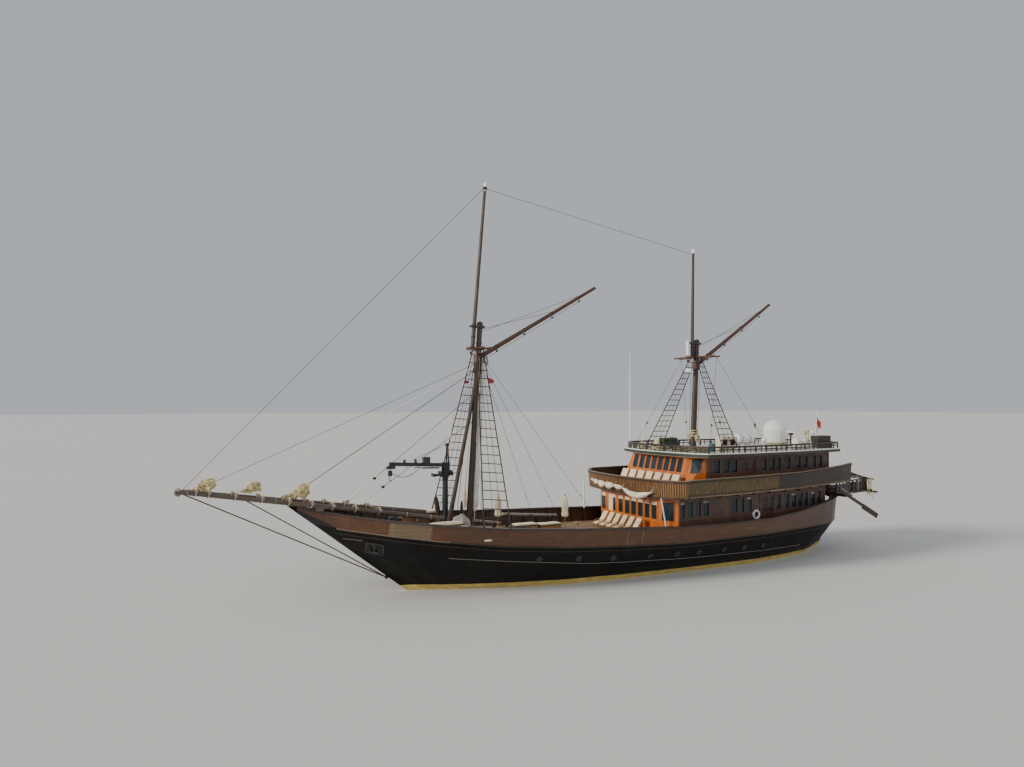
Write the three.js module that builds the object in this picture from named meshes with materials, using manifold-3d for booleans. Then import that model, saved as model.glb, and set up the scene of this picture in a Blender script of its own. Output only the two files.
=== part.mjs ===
// Two-masted phinisi schooner, 1:2 scale model.
// Every size below is in metres of the full-size ship. SCALE makes model millimetres of them.
// Frame: +X to the bow, +Y to port, +Z up, origin on the waterline amidships.
import * as THREE from 'three';
import { mergeVertices } from 'three/addons/utils/BufferGeometryUtils.js';
import Module from 'manifold-3d';

const wasm = await Module();
wasm.setup();

const SCALE = 500;
// Seat between two pieces that touch, and running clearance of moving ones.
const GAP = 0.0008;
const CLEAR = 0.012;
const DEG = Math.PI / 180;

const SIDES = { port: 1, starboard: -1 };

const finish = (color, roughness, metalness = 0) =>
  new THREE.MeshStandardMaterial({ color, roughness, metalness });
const BLACK_HULL = finish('#15130f', 0.4);
const BULWARK_BROWN = finish('#5b3320', 0.55);
const RAIL_DARK = finish('#2a1a12', 0.5);
const DECK_TEAK = finish('#8d7355', 0.75);
const ORANGE_TEAK = finish('#c8641c', 0.4);
const CABIN_BROWN = finish('#4a2a1a', 0.5);
const ROOF_GREY = finish('#8f8c84', 0.8);
const SPAR_DARK = finish('#33241a', 0.55);
const ROPE_DARK = finish('#2b2723', 0.9);
const CANVAS = finish('#d9d2c2', 0.95);
const STEEL_DARK = finish('#2c3236', 0.5, 0.6);
const WHITE = finish('#e9e9e6', 0.35);
const BRONZE = finish('#9c7a3c', 0.35, 0.9);

// Solids: closed geometries turned into manifolds for joins and cuts.
function welded(geometry) {
  const bare = geometry.clone();
  bare.deleteAttribute('normal');
  bare.deleteAttribute('uv');
  return mergeVertices(bare, 1e-5);
}

function solid(geometry) {
  const merged = welded(geometry);
  return new wasm.Manifold(new wasm.Mesh({
    numProp: 3,
    vertProperties: new Float32Array(merged.attributes.position.array),
    triVerts: new Uint32Array(merged.index.array),
  }));
}

function geometryOf(manifold) {
  const mesh = manifold.getMesh();
  const geometry = new THREE.BufferGeometry();
  geometry.setAttribute('position', new THREE.BufferAttribute(mesh.vertProperties, 3));
  geometry.setIndex(new THREE.BufferAttribute(mesh.triVerts, 1));
  return geometry;
}

const join = (...pieces) => geometryOf(pieces.map(solid).reduce((a, b) => a.add(b)));
const cut = (piece, ...tools) =>
  geometryOf(tools.map(solid).reduce((a, b) => a.subtract(b), solid(piece)));

const vec = (p) => new THREE.Vector3(...p);
const lerp = (a, b, t) => a + (b - a) * t;

// Straight-line reading of a table whose first column rises.
function read(table, x, column) {
  const last = table.length - 1;
  if (x <= table[0][0]) return table[0][column];
  if (x >= table[last][0]) return table[last][column];
  const i = table.findIndex((row) => row[0] >= x);
  const [a, b] = [table[i - 1], table[i]];
  return lerp(a[column], b[column], (x - a[0]) / (b[0] - a[0]));
}

function box(x0, x1, y0, y1, z0, z1) {
  const shape = new THREE.BoxGeometry(Math.abs(x1 - x0), Math.abs(y1 - y0), z1 - z0);
  return shape.translate((x0 + x1) / 2, (y0 + y1) / 2, (z0 + z1) / 2);
}

// Round spar or rope between two points.
function rod(a, b, radiusA, radiusB = radiusA, sides = 8) {
  const [from, to] = [vec(a), vec(b)];
  const axis = to.clone().sub(from);
  const shape = new THREE.CylinderGeometry(radiusB, radiusA, axis.length(), sides);
  const turn = new THREE.Quaternion().setFromUnitVectors(
    new THREE.Vector3(0, 1, 0), axis.clone().normalize());
  shape.applyQuaternion(turn);
  return shape.translate(...from.add(to).multiplyScalar(0.5).toArray());
}

// Square timber between two points, its height upright.
function timber(a, b, width, height) {
  const [from, to] = [vec(a), vec(b)];
  const axis = to.clone().sub(from);
  const along = axis.clone().normalize();
  const side = new THREE.Vector3(0, 0, 1).cross(along).normalize();
  const up = along.clone().cross(side);
  const shape = new THREE.BoxGeometry(axis.length(), width, height);
  shape.applyMatrix4(new THREE.Matrix4().makeBasis(along, side, up));
  return shape.translate(...from.add(to).multiplyScalar(0.5).toArray());
}

// Flat plates: an outline in one plane, given a thickness along the third axis.
const outline = (points) => new THREE.Shape(points.map(([u, v]) => new THREE.Vector2(u, v)));
function plateXZ(points, y0, y1) {
  const shape = new THREE.ExtrudeGeometry(outline(points), {
    depth: y1 - y0, bevelEnabled: false });
  return shape.rotateX(Math.PI / 2).translate(0, y1, 0);
}
function plateYZ(points, x0, x1) {
  const shape = new THREE.ExtrudeGeometry(outline(points), {
    depth: x1 - x0, bevelEnabled: false });
  return shape.rotateX(Math.PI / 2).rotateZ(Math.PI / 2).translate(x0, 0, 0);
}

// Closed body through a row of rings that all have the same number of points.
function loft(rings) {
  const count = rings[0].length;
  const points = rings.flat();
  const faces = [];
  for (let i = 0; i + 1 < rings.length; i += 1) {
    for (let j = 0; j < count; j += 1) {
      const k = (j + 1) % count;
      const [a, b, c, d] = [i * count + j, i * count + k, (i + 1) * count + k, (i + 1) * count + j];
      faces.push(a, b, c, a, c, d);
    }
  }
  const last = (rings.length - 1) * count;
  for (let j = 1; j + 1 < count; j += 1) {
    faces.push(0, j + 1, j);
    faces.push(last, last + j, last + j + 1);
  }
  const geometry = new THREE.BufferGeometry();
  geometry.setAttribute('position', new THREE.Float32BufferAttribute(points.flat(), 3));
  geometry.setIndex(faces);
  return volume(geometry) < 0 ? flipped(geometry) : geometry;
}

function volume(geometry) {
  const [p, index] = [geometry.attributes.position, geometry.index.array];
  const corner = (i) => new THREE.Vector3().fromBufferAttribute(p, index[i]);
  let sum = 0;
  for (let i = 0; i < index.length; i += 3) {
    sum += corner(i).dot(corner(i + 1).cross(corner(i + 2)));
  }
  return sum / 6;
}

function flipped(geometry) {
  const index = [...geometry.index.array];
  for (let i = 0; i < index.length; i += 3) [index[i], index[i + 1]] = [index[i + 1], index[i]];
  geometry.setIndex(index);
  return geometry;
}

const mirrorY = (geometry) => flipped(welded(geometry).scale(1, -1, 1));
const sided = (geometry, side) => (side > 0 ? geometry : mirrorY(geometry));

// Wall or rail along a line of [x, y] points, between two offsets from the line and two heights.
// Heights are numbers or functions of the point; lean moves the top outwards.
function band(line, inner, outer, low, high, lean = 0) {
  const heightOf = (h, point) => (typeof h === 'function' ? h(...point) : h);
  const normal = ([x0, y0], [x1, y1]) => {
    const size = Math.hypot(x1 - x0, y1 - y0);
    return [-(y1 - y0) / size, (x1 - x0) / size];
  };
  return loft(line.map((point, i) => {
    const before = i > 0 ? normal(line[i - 1], point) : null;
    const after = i + 1 < line.length ? normal(point, line[i + 1]) : null;
    const [n, m] = [before ?? after, after ?? before];
    const scale = 2 / ((n[0] + m[0]) ** 2 + (n[1] + m[1]) ** 2);
    const [nx, ny] = [(n[0] + m[0]) * scale, (n[1] + m[1]) * scale];
    const corner = (offset, z) => [point[0] + nx * offset, point[1] + ny * offset, z];
    const [z0, z1] = [heightOf(low, point), heightOf(high, point)];
    return [corner(inner, z0), corner(outer, z0), corner(outer + lean, z1), corner(inner + lean, z1)];
  }));
}
// The same line down the other side of the ship, from the stern round the bow end and back.
const roundBow = (line) => [...line, ...line.map(([x, y]) => [x, -y]).reverse()];

const ship = new THREE.Group();
ship.scale.setScalar(SCALE);

function add(name, geometry, material, parent = ship) {
  const mesh = new THREE.Mesh(geometry, material);
  mesh.name = name;
  parent.add(mesh);
  return mesh;
}

// Hull lines, stern to bow.
const HULL = [
  // x deck, z deck, half deck, z cap, half cap, x waterline, half waterline, x keel, z keel
  [-17.6, 2.50, 0.45, 3.95, 0.60, -16.7, 0.20, -16.6, -0.25],
  [-17.0, 2.48, 1.35, 3.95, 1.55, -16.1, 0.40, -16.0, -0.35],
  [-16.0, 2.46, 2.40, 3.98, 2.60, -15.3, 0.80, -15.0, -0.42],
  [-15.0, 2.44, 3.20, 4.02, 3.42, -14.4, 1.28, -13.9, -0.55],
  [-14.0, 2.42, 3.85, 4.03, 4.08, -13.5, 1.80, -12.9, -0.95],
  [-12.7, 2.39, 4.28, 3.90, 4.52, -12.3, 2.36, -11.8, -1.55],
  [-10.0, 2.35, 4.65, 3.50, 4.85, -10.0, 2.92, -9.6, -1.85],
  [-7.0, 2.28, 4.95, 3.22, 5.12, -7.0, 3.36, -6.8, -1.95],
  [-2.3, 2.25, 5.15, 3.17, 5.35, -2.3, 3.42, -2.3, -2.00],
  [0.7, 2.27, 5.27, 3.22, 5.49, 0.7, 3.38, 0.7, -2.00],
  [4.7, 2.38, 5.00, 3.40, 5.24, 4.4, 3.31, 4.2, -2.00],
  [8.7, 2.54, 4.52, 3.56, 4.79, 7.9, 2.95, 7.2, -2.00],
  [12.7, 2.86, 4.05, 3.79, 4.35, 10.9, 2.26, 9.6, -1.98],
  [16.0, 3.27, 3.35, 4.10, 3.68, 13.1, 1.55, 11.2, -1.92],
  [18.6, 3.64, 2.52, 4.40, 2.82, 14.8, 0.90, 12.2, -1.80],
  [20.8, 3.98, 1.52, 4.70, 1.75, 15.9, 0.42, 12.9, -1.62],
  [22.5, 4.28, 0.42, 4.96, 0.55, 16.6, 0.20, 13.4, -1.45],
  [23.4, 4.93, 0.24, 5.20, 0.27, 16.8, 0.19, 13.6, -1.40],
];
// The deck ends short of the last rows, where the bow is solid timber.
const DECK_ROWS = HULL.slice(0, -2);
const KEEL_HALF = 0.18;
const KEEL_BOTTOM = -2.6;
const [X_DECK, Z_DECK, B_DECK, Z_CAP, B_CAP, X_WATER, B_WATER, X_KEEL, Z_KEEL] = HULL[0].keys();
const deckAt = (x) => read(HULL, x, Z_DECK);
const deckHalf = (x) => read(HULL, x, B_DECK);
const capAt = (x) => read(HULL, x, Z_CAP);
const capHalf = (x) => read(HULL, x, B_CAP);

const PLANKING = 0.06;
const deckTop = (x) => deckAt(x) + PLANKING;

// Share of the way, in x, in breadth and in height, at each level of a section.
const BELOW = [[0, 0, 0], [0.35, 0.50, 0.22], [0.72, 0.84, 0.58], [1, 1, 1]];
const ABOVE = [[0.33, 0.42, 0.33], [0.66, 0.74, 0.66], [1, 1, 1]];

function hullRing(row) {
  const side = [];
  for (const [u, v, w] of BELOW) {
    side.push([lerp(row[X_KEEL], row[X_WATER], u), lerp(KEEL_HALF, row[B_WATER], v),
      lerp(row[Z_KEEL], 0, w)]);
  }
  for (const [u, v, w] of ABOVE) {
    side.push([lerp(row[X_WATER], row[X_DECK], u), lerp(row[B_WATER], row[B_DECK], v),
      lerp(0, row[Z_DECK], w)]);
  }
  const other = side.map(([x, y, z]) => [x, -y, z]).reverse();
  return [...side, ...other];
}

// Keel, stem and heel as one timber profile.
const STEM_HEAD = [23.86, 5.3];
const STEM_FOOT = [16.98, 0.0];
const HEEL = { end: -16.2, top: -2.36, aperture: -13.3 };
const BACKBONE = [
  [23.4, 5.3], STEM_HEAD, STEM_FOOT, [15.7, -1.0], [14.2, -1.9], [12.4, -2.45], [11.0, KEEL_BOTTOM],
  [HEEL.end, KEEL_BOTTOM], [HEEL.end, HEEL.top], [-13.6, HEEL.top], [HEEL.aperture, -2.1],
  [HEEL.aperture, -0.6], [HEEL.aperture, 0.3], [10.0, 0.3], [15.6, 0.3], [22.3, 4.3], [22.6, 4.9],
];
const STERN_TUBE = { z: -1.55, radius: 0.22, length: 0.35 };
const RUDDER = { x: -15.3, top: -0.62, bottom: HEEL.top + GAP, stock: 0.11 };

function hull() {
  const body = loft(HULL.map(hullRing));
  const backbone = plateXZ(BACKBONE, -KEEL_HALF, KEEL_HALF);
  const tube = rod([HEEL.aperture + 0.6, 0, STERN_TUBE.z],
    [HEEL.aperture - STERN_TUBE.length, 0, STERN_TUBE.z], STERN_TUBE.radius, STERN_TUBE.radius, 16);
  const trunk = rod([RUDDER.x, 0, RUDDER.top], [RUDDER.x, 0, 0.3], 0.2, 0.2, 12);
  return join(body, backbone, tube, trunk);
}
add('hull', hull(), BLACK_HULL);

// Rudder and propeller, under the counter.
const rudder = new THREE.Group();
rudder.position.set(RUDDER.x, 0, 0);
ship.add(rudder);
const BLADE = [[0.34, -0.78], [0.34, -2.2], [-1.35, -2.2], [-1.55, -1.5], [-1.4, -0.95]];
add('rudder', join(
  plateXZ(BLADE, -0.07, 0.07),
  rod([0, 0, RUDDER.bottom], [0, 0, RUDDER.top - GAP], RUDDER.stock, RUDDER.stock, 12),
), SPAR_DARK, rudder);

const PROPELLER = { radius: 0.6, hub: 0.15, blades: 4, pitch: 38 * DEG };
function propeller() {
  const hub = rod([0.16, 0, 0], [-0.24, 0, 0], PROPELLER.hub, 0.07, 12);
  const blades = [];
  for (let i = 0; i < PROPELLER.blades; i += 1) {
    const blade = plateYZ([[-0.08, 0.08], [0.08, 0.08], [0.2, 0.34], [0.17, 0.56], [0, PROPELLER.radius],
      [-0.17, 0.56], [-0.2, 0.34]], -0.02, 0.02);
    blades.push(blade.rotateZ(PROPELLER.pitch).rotateX(i * 2 * Math.PI / PROPELLER.blades));
  }
  return join(hub, ...blades);
}
const shaftLine = new THREE.Group();
shaftLine.position.set(HEEL.aperture - STERN_TUBE.length - GAP - 0.16, 0, STERN_TUBE.z);
ship.add(shaftLine);
add('propeller', propeller(), BRONZE, shaftLine);

// Deck planking, bulwarks and cap rails.
const BULWARK = 0.13;
const CAP = { inboard: 0.12, outboard: 0.07, height: 0.09 };
add('main_deck', loft(DECK_ROWS.map((row) => {
  const [x, half] = [row[X_DECK], row[B_DECK] - BULWARK - 0.02];
  const [z0, z1] = [row[Z_DECK] + GAP, row[Z_DECK] + PLANKING];
  return [[x, -half, z0], [x, half, z0], [x, half, z1], [x, -half, z1]];
})), DECK_TEAK);

for (const [name, side] of Object.entries(SIDES)) {
  add(`bulwark_${name}`, sided(loft(HULL.map((row) => {
    const inboard = (half) => Math.max(half - BULWARK, KEEL_HALF + 0.02);
    return [
      [row[X_DECK], row[B_DECK], row[Z_DECK] + GAP],
      [row[X_DECK], row[B_CAP], row[Z_CAP]],
      [row[X_DECK], inboard(row[B_CAP]), row[Z_CAP]],
      [row[X_DECK], inboard(row[B_DECK]), row[Z_DECK] + GAP],
    ];
  })), side), BULWARK_BROWN);
  add(`cap_rail_${name}`, sided(loft(HULL.map((row) => {
    const outer = row[B_CAP] + CAP.outboard;
    const inner = Math.max(row[B_CAP] - BULWARK - CAP.inboard, KEEL_HALF + 0.02);
    const [z0, z1] = [row[Z_CAP] + GAP, row[Z_CAP] + CAP.height];
    return [[row[X_DECK], outer, z0], [row[X_DECK], outer, z1], [row[X_DECK], inner, z1],
      [row[X_DECK], inner, z0]];
  })), side), RAIL_DARK);
}

// Bowsprit: two long spars, cross beams lashed over them, and a pale cap at the tip.
const SPRIT = { heel: [15.2, 1.5, 4.25], tip: [29.2, 0.2, 6.34], radius: 0.15, beam: 0.07 };
const BEAM_RISE = 0.14;
const CROSS_BEAMS = [28.6, 27.97, 26.66, 25.31, 23.92, 22.72, 21.59, 20.33, 19.0];
const spritAt = (x) => {
  const t = (x - SPRIT.heel[0]) / (SPRIT.tip[0] - SPRIT.heel[0]);
  return { half: lerp(SPRIT.heel[1], SPRIT.tip[1], t), z: lerp(SPRIT.heel[2], SPRIT.tip[2], t) };
};
// A chock carries it on the bow, and a post under each heel on the foredeck.
const CHOCK = 22.3;
const BITTS = { x: 15.6, width: 0.28 };
function bowsprit(extra = 0) {
  const parts = [];
  for (const side of Object.values(SIDES)) {
    const [a, b] = [SPRIT.heel, SPRIT.tip].map(([x, y, z]) => [x, y * side, z]);
    parts.push(rod(a, b, SPRIT.radius + extra, 0.12 + extra, 10));
  }
  for (const x of CROSS_BEAMS) {
    const { half, z } = spritAt(x);
    const reach = half + 0.4 + extra;
    parts.push(rod([x, -reach, z + BEAM_RISE], [x, reach, z + BEAM_RISE], SPRIT.beam + extra));
  }
  const tip = spritAt(29.1);
  const wide = tip.half + 0.14 + extra;
  parts.push(box(28.8 - extra, 29.6 + extra, -wide, wide, tip.z - 0.09 - extra, tip.z + 0.11 + extra));
  const rest = capAt(CHOCK + 0.2) + CAP.height + GAP;
  parts.push(box(CHOCK - 0.2, CHOCK + 0.2, -1.05, 1.05, rest, spritAt(CHOCK).z));
  for (const side of Object.values(SIDES)) {
    const { half, z } = spritAt(BITTS.x);
    parts.push(box(BITTS.x - BITTS.width / 2, BITTS.x + BITTS.width / 2, half * side - BITTS.width / 2,
      half * side + BITTS.width / 2, deckTop(BITTS.x + BITTS.width / 2) + GAP, z));
  }
  return join(...parts);
}
add('bowsprit', bowsprit(), SPAR_DARK);

const stemAt = (z) => lerp(STEM_FOOT[0], STEM_HEAD[0], z / STEM_HEAD[1]);
const EYE = { z: 0.85, radius: 0.09, rod: 0.035 };
const eye = [stemAt(EYE.z) + 0.1, 0, EYE.z];
add('bobstays', cut(join(
  rod([eye[0], -0.1, eye[2]], [eye[0], 0.1, eye[2]], EYE.radius),
  rod(eye, [29.4, 0, spritAt(29.1).z], EYE.rod, EYE.rod, 6),
  rod(eye, [26.66, 0, spritAt(26.66).z + BEAM_RISE], EYE.rod, EYE.rod, 6),
), bowsprit(GAP), plateXZ(BACKBONE.map(([x, z]) => [x + GAP, z]), -1, 1)), ROPE_DARK);

// Masts, with heights along them from their feet. Lead is how far the topmast stands ahead of
// the mast, at its foot and at its top, and gaff is where the gaff meets the mast.
const FORE = { x: 12.98, foot: deckTop(12.98), rake: 3.42 * DEG, hounds: 11.36, cap: 12.7,
  head: 12.95, top: 21.75, radius: 0.2, spreader: 1.25, lead: [0.42, 0.17], gaff: 10.84 };
const ROOF_TOP = 7.68;
const MIZZEN = { x: -4.52, foot: ROOF_TOP, rake: 3 * DEG, hounds: 6.52, cap: 7.5,
  head: 7.72, top: 14.24, radius: 0.22, spreader: 2.15, lead: [0.37, 0.62], gaff: 6.0 };
const TOPMAST = { radius: 0.13, tip: 0.09 };
const CROSSTREE = 0.1;

const along = (mast, h, ahead = 0, y = 0) => [
  mast.x - h * Math.sin(mast.rake) + ahead * Math.cos(mast.rake), y,
  mast.foot + h * Math.cos(mast.rake) + ahead * Math.sin(mast.rake)];
const mastRadius = (mast, h) => lerp(mast.radius, mast.radius * 0.8, h / mast.head);
const onMast = (mast, geometry) => geometry.rotateY(-mast.rake).translate(mast.x, 0, mast.foot);

const lowerMast = (mast, extra = 0) => onMast(mast, rod([0, 0, -0.4], [0, 0, mast.head],
  mast.radius + extra, mast.radius * 0.8 + extra, 12));
const lead = (mast, h) => lerp(...mast.lead, (h - mast.hounds) / (mast.top - mast.hounds));
const topMast = (mast, extra = 0) => onMast(mast, rod(
  [mast.lead[0], 0, mast.hounds + CROSSTREE - 0.05], [mast.lead[1], 0, mast.top],
  TOPMAST.radius + extra, TOPMAST.tip + extra, 10));
// The gaff's collar rests on a stop round the mast.
const GAFF_COLLAR = { half: 0.2, wall: 0.09, stop: 0.12, stopWall: 0.07 };
function gaffStop(mast) {
  const top = mast.gaff - GAFF_COLLAR.half - GAP;
  const wide = mastRadius(mast, top) + GAFF_COLLAR.stopWall;
  return onMast(mast, rod([0, 0, top - GAFF_COLLAR.stop], [0, 0, top], wide, wide, 16));
}

for (const [name, mast] of Object.entries({ fore: FORE, mizzen: MIZZEN })) {
  const seat = mast === FORE
    ? plateXZ([[11, 0], [15, 0], [15, deckTop(15) + GAP], [12.7, deckTop(12.7) + GAP],
      [11, deckTop(11) + GAP]], -1, 1)
    : box(mast.x - 1, mast.x + 1, -1, 1, mast.foot - 1, mast.foot + GAP);
  add(`${name}_mast`, cut(join(lowerMast(mast), gaffStop(mast)), seat), SPAR_DARK);
  const cap = onMast(mast, box(-0.25, mast.lead[0] + 0.2, -0.22, 0.22, mast.cap, mast.cap + 0.14));
  const below = onMast(mast, box(-1, 1, -1, 1, mast.hounds - 1, mast.hounds + CROSSTREE + GAP));
  add(`${name}_topmast`, join(cut(topMast(mast), below), cut(cap, lowerMast(mast, GAP))), SPAR_DARK);
  const arms = [
    onMast(mast, box(-0.32, 0.7, -0.32, 0.32, mast.hounds, mast.hounds + CROSSTREE)),
    onMast(mast, box(-0.3, -0.16, -mast.spreader, mast.spreader, mast.hounds, mast.hounds + CROSSTREE)),
    onMast(mast, box(0.16, 0.3, -mast.spreader, mast.spreader, mast.hounds, mast.hounds + CROSSTREE)),
  ];
  add(`${name}_crosstree`, cut(join(...arms), lowerMast(mast, GAP)), SPAR_DARK);
}

// Stays of the foremast, from one band under the hounds down to the bowsprit.
const STAY_RADIUS = 0.03;
const STAY_FEET = [
  // height on the mast over the band's foot, x on the bowsprit
  [0.55, 28.6],
  [0.36, 26.66],
  [0.14, 23.92],
];
// Side stays run down the mast from the band to a height of their own, and from there ahead.
const SIDE_STAY = { x: 20.33, y: spritAt(20.33).half, z: spritAt(20.33).z + BEAM_RISE,
  ahead: 0.1, out: 0.2, heights: { port: 7.0, starboard: 8.6 } };
const BAND = { h: 9.9, height: 0.6, radius: 0.25 };
add('fore_stays', cut(join(
  onMast(FORE, rod([0, 0, BAND.h], [0, 0, BAND.h + BAND.height], BAND.radius, BAND.radius, 12)),
  ...STAY_FEET.map(([h, x]) => rod(along(FORE, BAND.h + h, 0.18), [x, 0, spritAt(x).z + BEAM_RISE],
    STAY_RADIUS, STAY_RADIUS, 6)),
  ...Object.entries(SIDES).flatMap(([where, side]) => {
    const beside = (h) => along(FORE, h, SIDE_STAY.ahead, SIDE_STAY.out * side);
    const head = beside(SIDE_STAY.heights[where]);
    return [
      rod(beside(BAND.h + 0.1), head, STAY_RADIUS, STAY_RADIUS, 6),
      rod(head, [SIDE_STAY.x, SIDE_STAY.y * side, SIDE_STAY.z], STAY_RADIUS, STAY_RADIUS, 6),
    ];
  }),
), lowerMast(FORE, GAP), bowsprit(GAP)), ROPE_DARK);

const topBand = FORE.top - 0.4;
const bandLead = lead(FORE, topBand);
add('topmast_stays', cut(join(
  onMast(FORE, rod([bandLead, 0, topBand], [bandLead, 0, topBand + 0.2], 0.14, 0.14, 10)),
  rod(along(FORE, topBand + 0.1, bandLead + 0.08), [29.25, 0, spritAt(29.1).z + 0.02],
    STAY_RADIUS, STAY_RADIUS, 6),
  rod(along(FORE, topBand + 0.1, bandLead - 0.08),
    along(MIZZEN, MIZZEN.top - 0.3, lead(MIZZEN, MIZZEN.top - 0.3)), STAY_RADIUS, STAY_RADIUS, 6),
), topMast(FORE, GAP), topMast(MIZZEN, GAP), bowsprit(GAP)), ROPE_DARK);

// Shrouds with rungs: two legs to the rail, side by side, and rungs lashed across them.
const LADDER = { leg: 0.035, rung: 0.028 };
function ladder({ feet, heads, step }) {
  const count = Math.floor(vec(feet[0]).distanceTo(vec(heads[0])) / step);
  const parts = feet.map((foot, i) => rod(foot, heads[i], LADDER.leg, LADDER.leg, 6));
  for (let i = 1; i <= count; i += 1) {
    const t = (i * step) / (count * step + 0.4);
    const [a, b] = feet.map((foot, k) => vec(foot).lerp(vec(heads[k]), t).toArray());
    parts.push(rod(a, b, LADDER.rung, LADDER.rung, 5));
  }
  return join(...parts);
}
const railTop = (x) => capAt(x) + CAP.height + GAP;
// The heads reach up into the crosstree's underside, where the cut below seats them.
const shroudHeads = (mast) =>
  [0.24, -0.18].map((ahead) => along(mast, mast.hounds + 0.06, ahead, 0.28));
const SHROUDS = {
  fore: { feet: [[13.8, 4.03, railTop(13.85)], [12.2, 4.28, railTop(12.25)]],
    heads: shroudHeads(FORE), step: 0.54 },
  mizzen: { feet: [[-3.56, 4.29, ROOF_TOP + GAP], [-5.0, 4.18, ROOF_TOP + GAP]],
    heads: shroudHeads(MIZZEN), step: 0.48 },
};

const RAIL_LINE = [11, 12.7, 15].map((x) => [x, railTop(x)]).reverse();
const BELOW_FEET = {
  fore: plateXZ([[11, 0], [15, 0], ...RAIL_LINE], -9, 9),
  mizzen: box(-9, 0, -9, 9, 0, ROOF_TOP + GAP),
};
for (const [name, mast] of Object.entries({ fore: FORE, mizzen: MIZZEN })) {
  const above = onMast(mast, box(-3, 3, -3, 3, mast.hounds - GAP, mast.hounds + 3));
  const shrouds = cut(ladder(SHROUDS[name]), above, BELOW_FEET[name]);
  for (const [where, side] of Object.entries(SIDES)) {
    add(`${name}_shrouds_${where}`, sided(shrouds, side), ROPE_DARK);
  }
}

// Forward leg of the foremast.
const LEG = { foot: [14.45, 0, 2.9], head: along(FORE, 9.7), radius: 0.15 };
const UNDER_DECK = plateXZ([[12, 0], [17, 0], [17, deckTop(17) + GAP], [16, deckTop(16) + GAP],
  [12.7, deckTop(12.7) + GAP], [12, deckTop(12) + GAP]], -2, 2);
add('fore_mast_leg', cut(rod(LEG.foot, LEG.head, LEG.radius, 0.11, 10), lowerMast(FORE, GAP),
  UNDER_DECK), SPAR_DARK);

// Gaffs: a collar that turns round the mast under the crosstree, and a spar from it.
const GAFFS = {
  main: { mast: FORE, tip: [3.8, 0, 18.65], radius: 0.16 },
  mizzen: { mast: MIZZEN, tip: [-11.9, 0, 18.4], radius: 0.155 },
};
for (const [name, { mast, tip, radius }] of Object.entries(GAFFS)) {
  const h = mast.gaff - GAFF_COLLAR.half;
  const wide = mastRadius(mast, h) + GAFF_COLLAR.wall;
  const body = join(
    onMast(mast, rod([0, 0, h], [0, 0, h + 2 * GAFF_COLLAR.half], wide, wide, 16)),
    rod(along(mast, mast.gaff), tip, radius, radius * 0.65, 10),
  );
  const floor = onMast(mast, box(-3, 3, -3, 3, h - 2, h));
  add(`${name}_gaff`, cut(body, lowerMast(mast, CLEAR), floor), SPAR_DARK);
}

// Sail furled up and down behind the foremast.
const FURLED = { foot: 1.5, head: 8.6, aft: -0.34, radius: 0.17 };
add('furled_foresail', cut(rod(along(FORE, FURLED.foot, FURLED.aft),
  along(FORE, FURLED.head, FURLED.aft + 0.06), FURLED.radius, 0.1, 10), lowerMast(FORE, GAP)), CANVAS);

// Deckhouses. Their side walls close in towards the stern by WALL_TAPER.
const WALL = 0.1;
const WALL_TAPER = 0.06;
const SALOON = { front: 1.1, frontHalf: 3.3, corner: 0.35, half: 4.35, aft: -13.75,
  sill: 3.62, head: 4.62, pane: [3.45, 4.62] };
const UPPER = { front: -0.9, frontHalf: 3.6, corner: -2.4, half: 3.9, aft: -14.55, sill: 6.3, head: 7.15,
  pane: [6.35, 7.28] };
const underDeck = (x) => 5.0 + 0.009 * (0.5 - x);
const SLAB = 0.16;
const onUpperDeck = (x) => underDeck(x) + SLAB;
const underRoof = (x) => 7.42 - 0.008 * (x + 1.9);

const taper = (geometry, x0) => {
  const shear = new THREE.Matrix4().set(1, 0, 0, 0, WALL_TAPER, 1, 0, -WALL_TAPER * x0,
    0, 0, 1, 0, 0, 0, 0, 1);
  return geometry.applyMatrix4(shear);
};
const halfAt = (house, x) => house.half + WALL_TAPER * (x - house.corner);

// Openings in a side wall: aft edge, forward edge, bottom, top, all as seen from port.
const SIDE_WINDOWS = {
  saloon: [
    [-0.25, 0.2], [-0.93, -0.44], [-1.62, -1.12], [-2.33, -1.82], [-4.94, -4.32],
    [-5.54, -5.12], [-6.26, -5.78], [-9.09, -8.69], [-9.95, -9.55], [-10.69, -10.2],
    [-11.35, -10.85], [-11.9, -11.5], [-12.66, -12.23], [-13.32, -12.88],
  ],
  upper: [
    [-3.6, -3.05], [-4.45, -3.91], [-5.23, -4.62], [-8.01, -7.51], [-8.82, -8.32],
    [-9.43, -8.97], [-10.41, -9.96], [-11.5, -10.98], [-12.23, -11.71], [-13.14, -12.82],
    [-13.8, -13.4],
  ],
};
const DOORWAYS = {
  saloon: { aft: -8.4, fore: -7.2, head: 4.7 },
  upper: { aft: -6.9, fore: -5.6, head: 7.12 },
};
const SILL = 0.08;

function sideWall(house, name, floorAt, ceilingAt, stations) {
  const low = stations.map((x) => [x, floorAt(x) + GAP]);
  const high = [stations.at(-1), stations[0]].map((x) => [x, ceilingAt(x) - GAP]);
  const [inner, outer] = [house.half - WALL, house.half];
  const opening = (aft, fore, z0, z1) => box(aft, fore, inner - 1, outer + 1, z0, z1);
  const door = DOORWAYS[name];
  const sill = Math.max(floorAt(door.aft), floorAt(door.fore)) + SILL;
  return taper(cut(plateXZ([...low, ...high], inner, outer),
    ...SIDE_WINDOWS[name].map(([aft, fore]) => opening(aft, fore, house.sill, house.head)),
    opening(door.aft, door.fore, sill, door.head)), house.corner);
}

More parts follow.
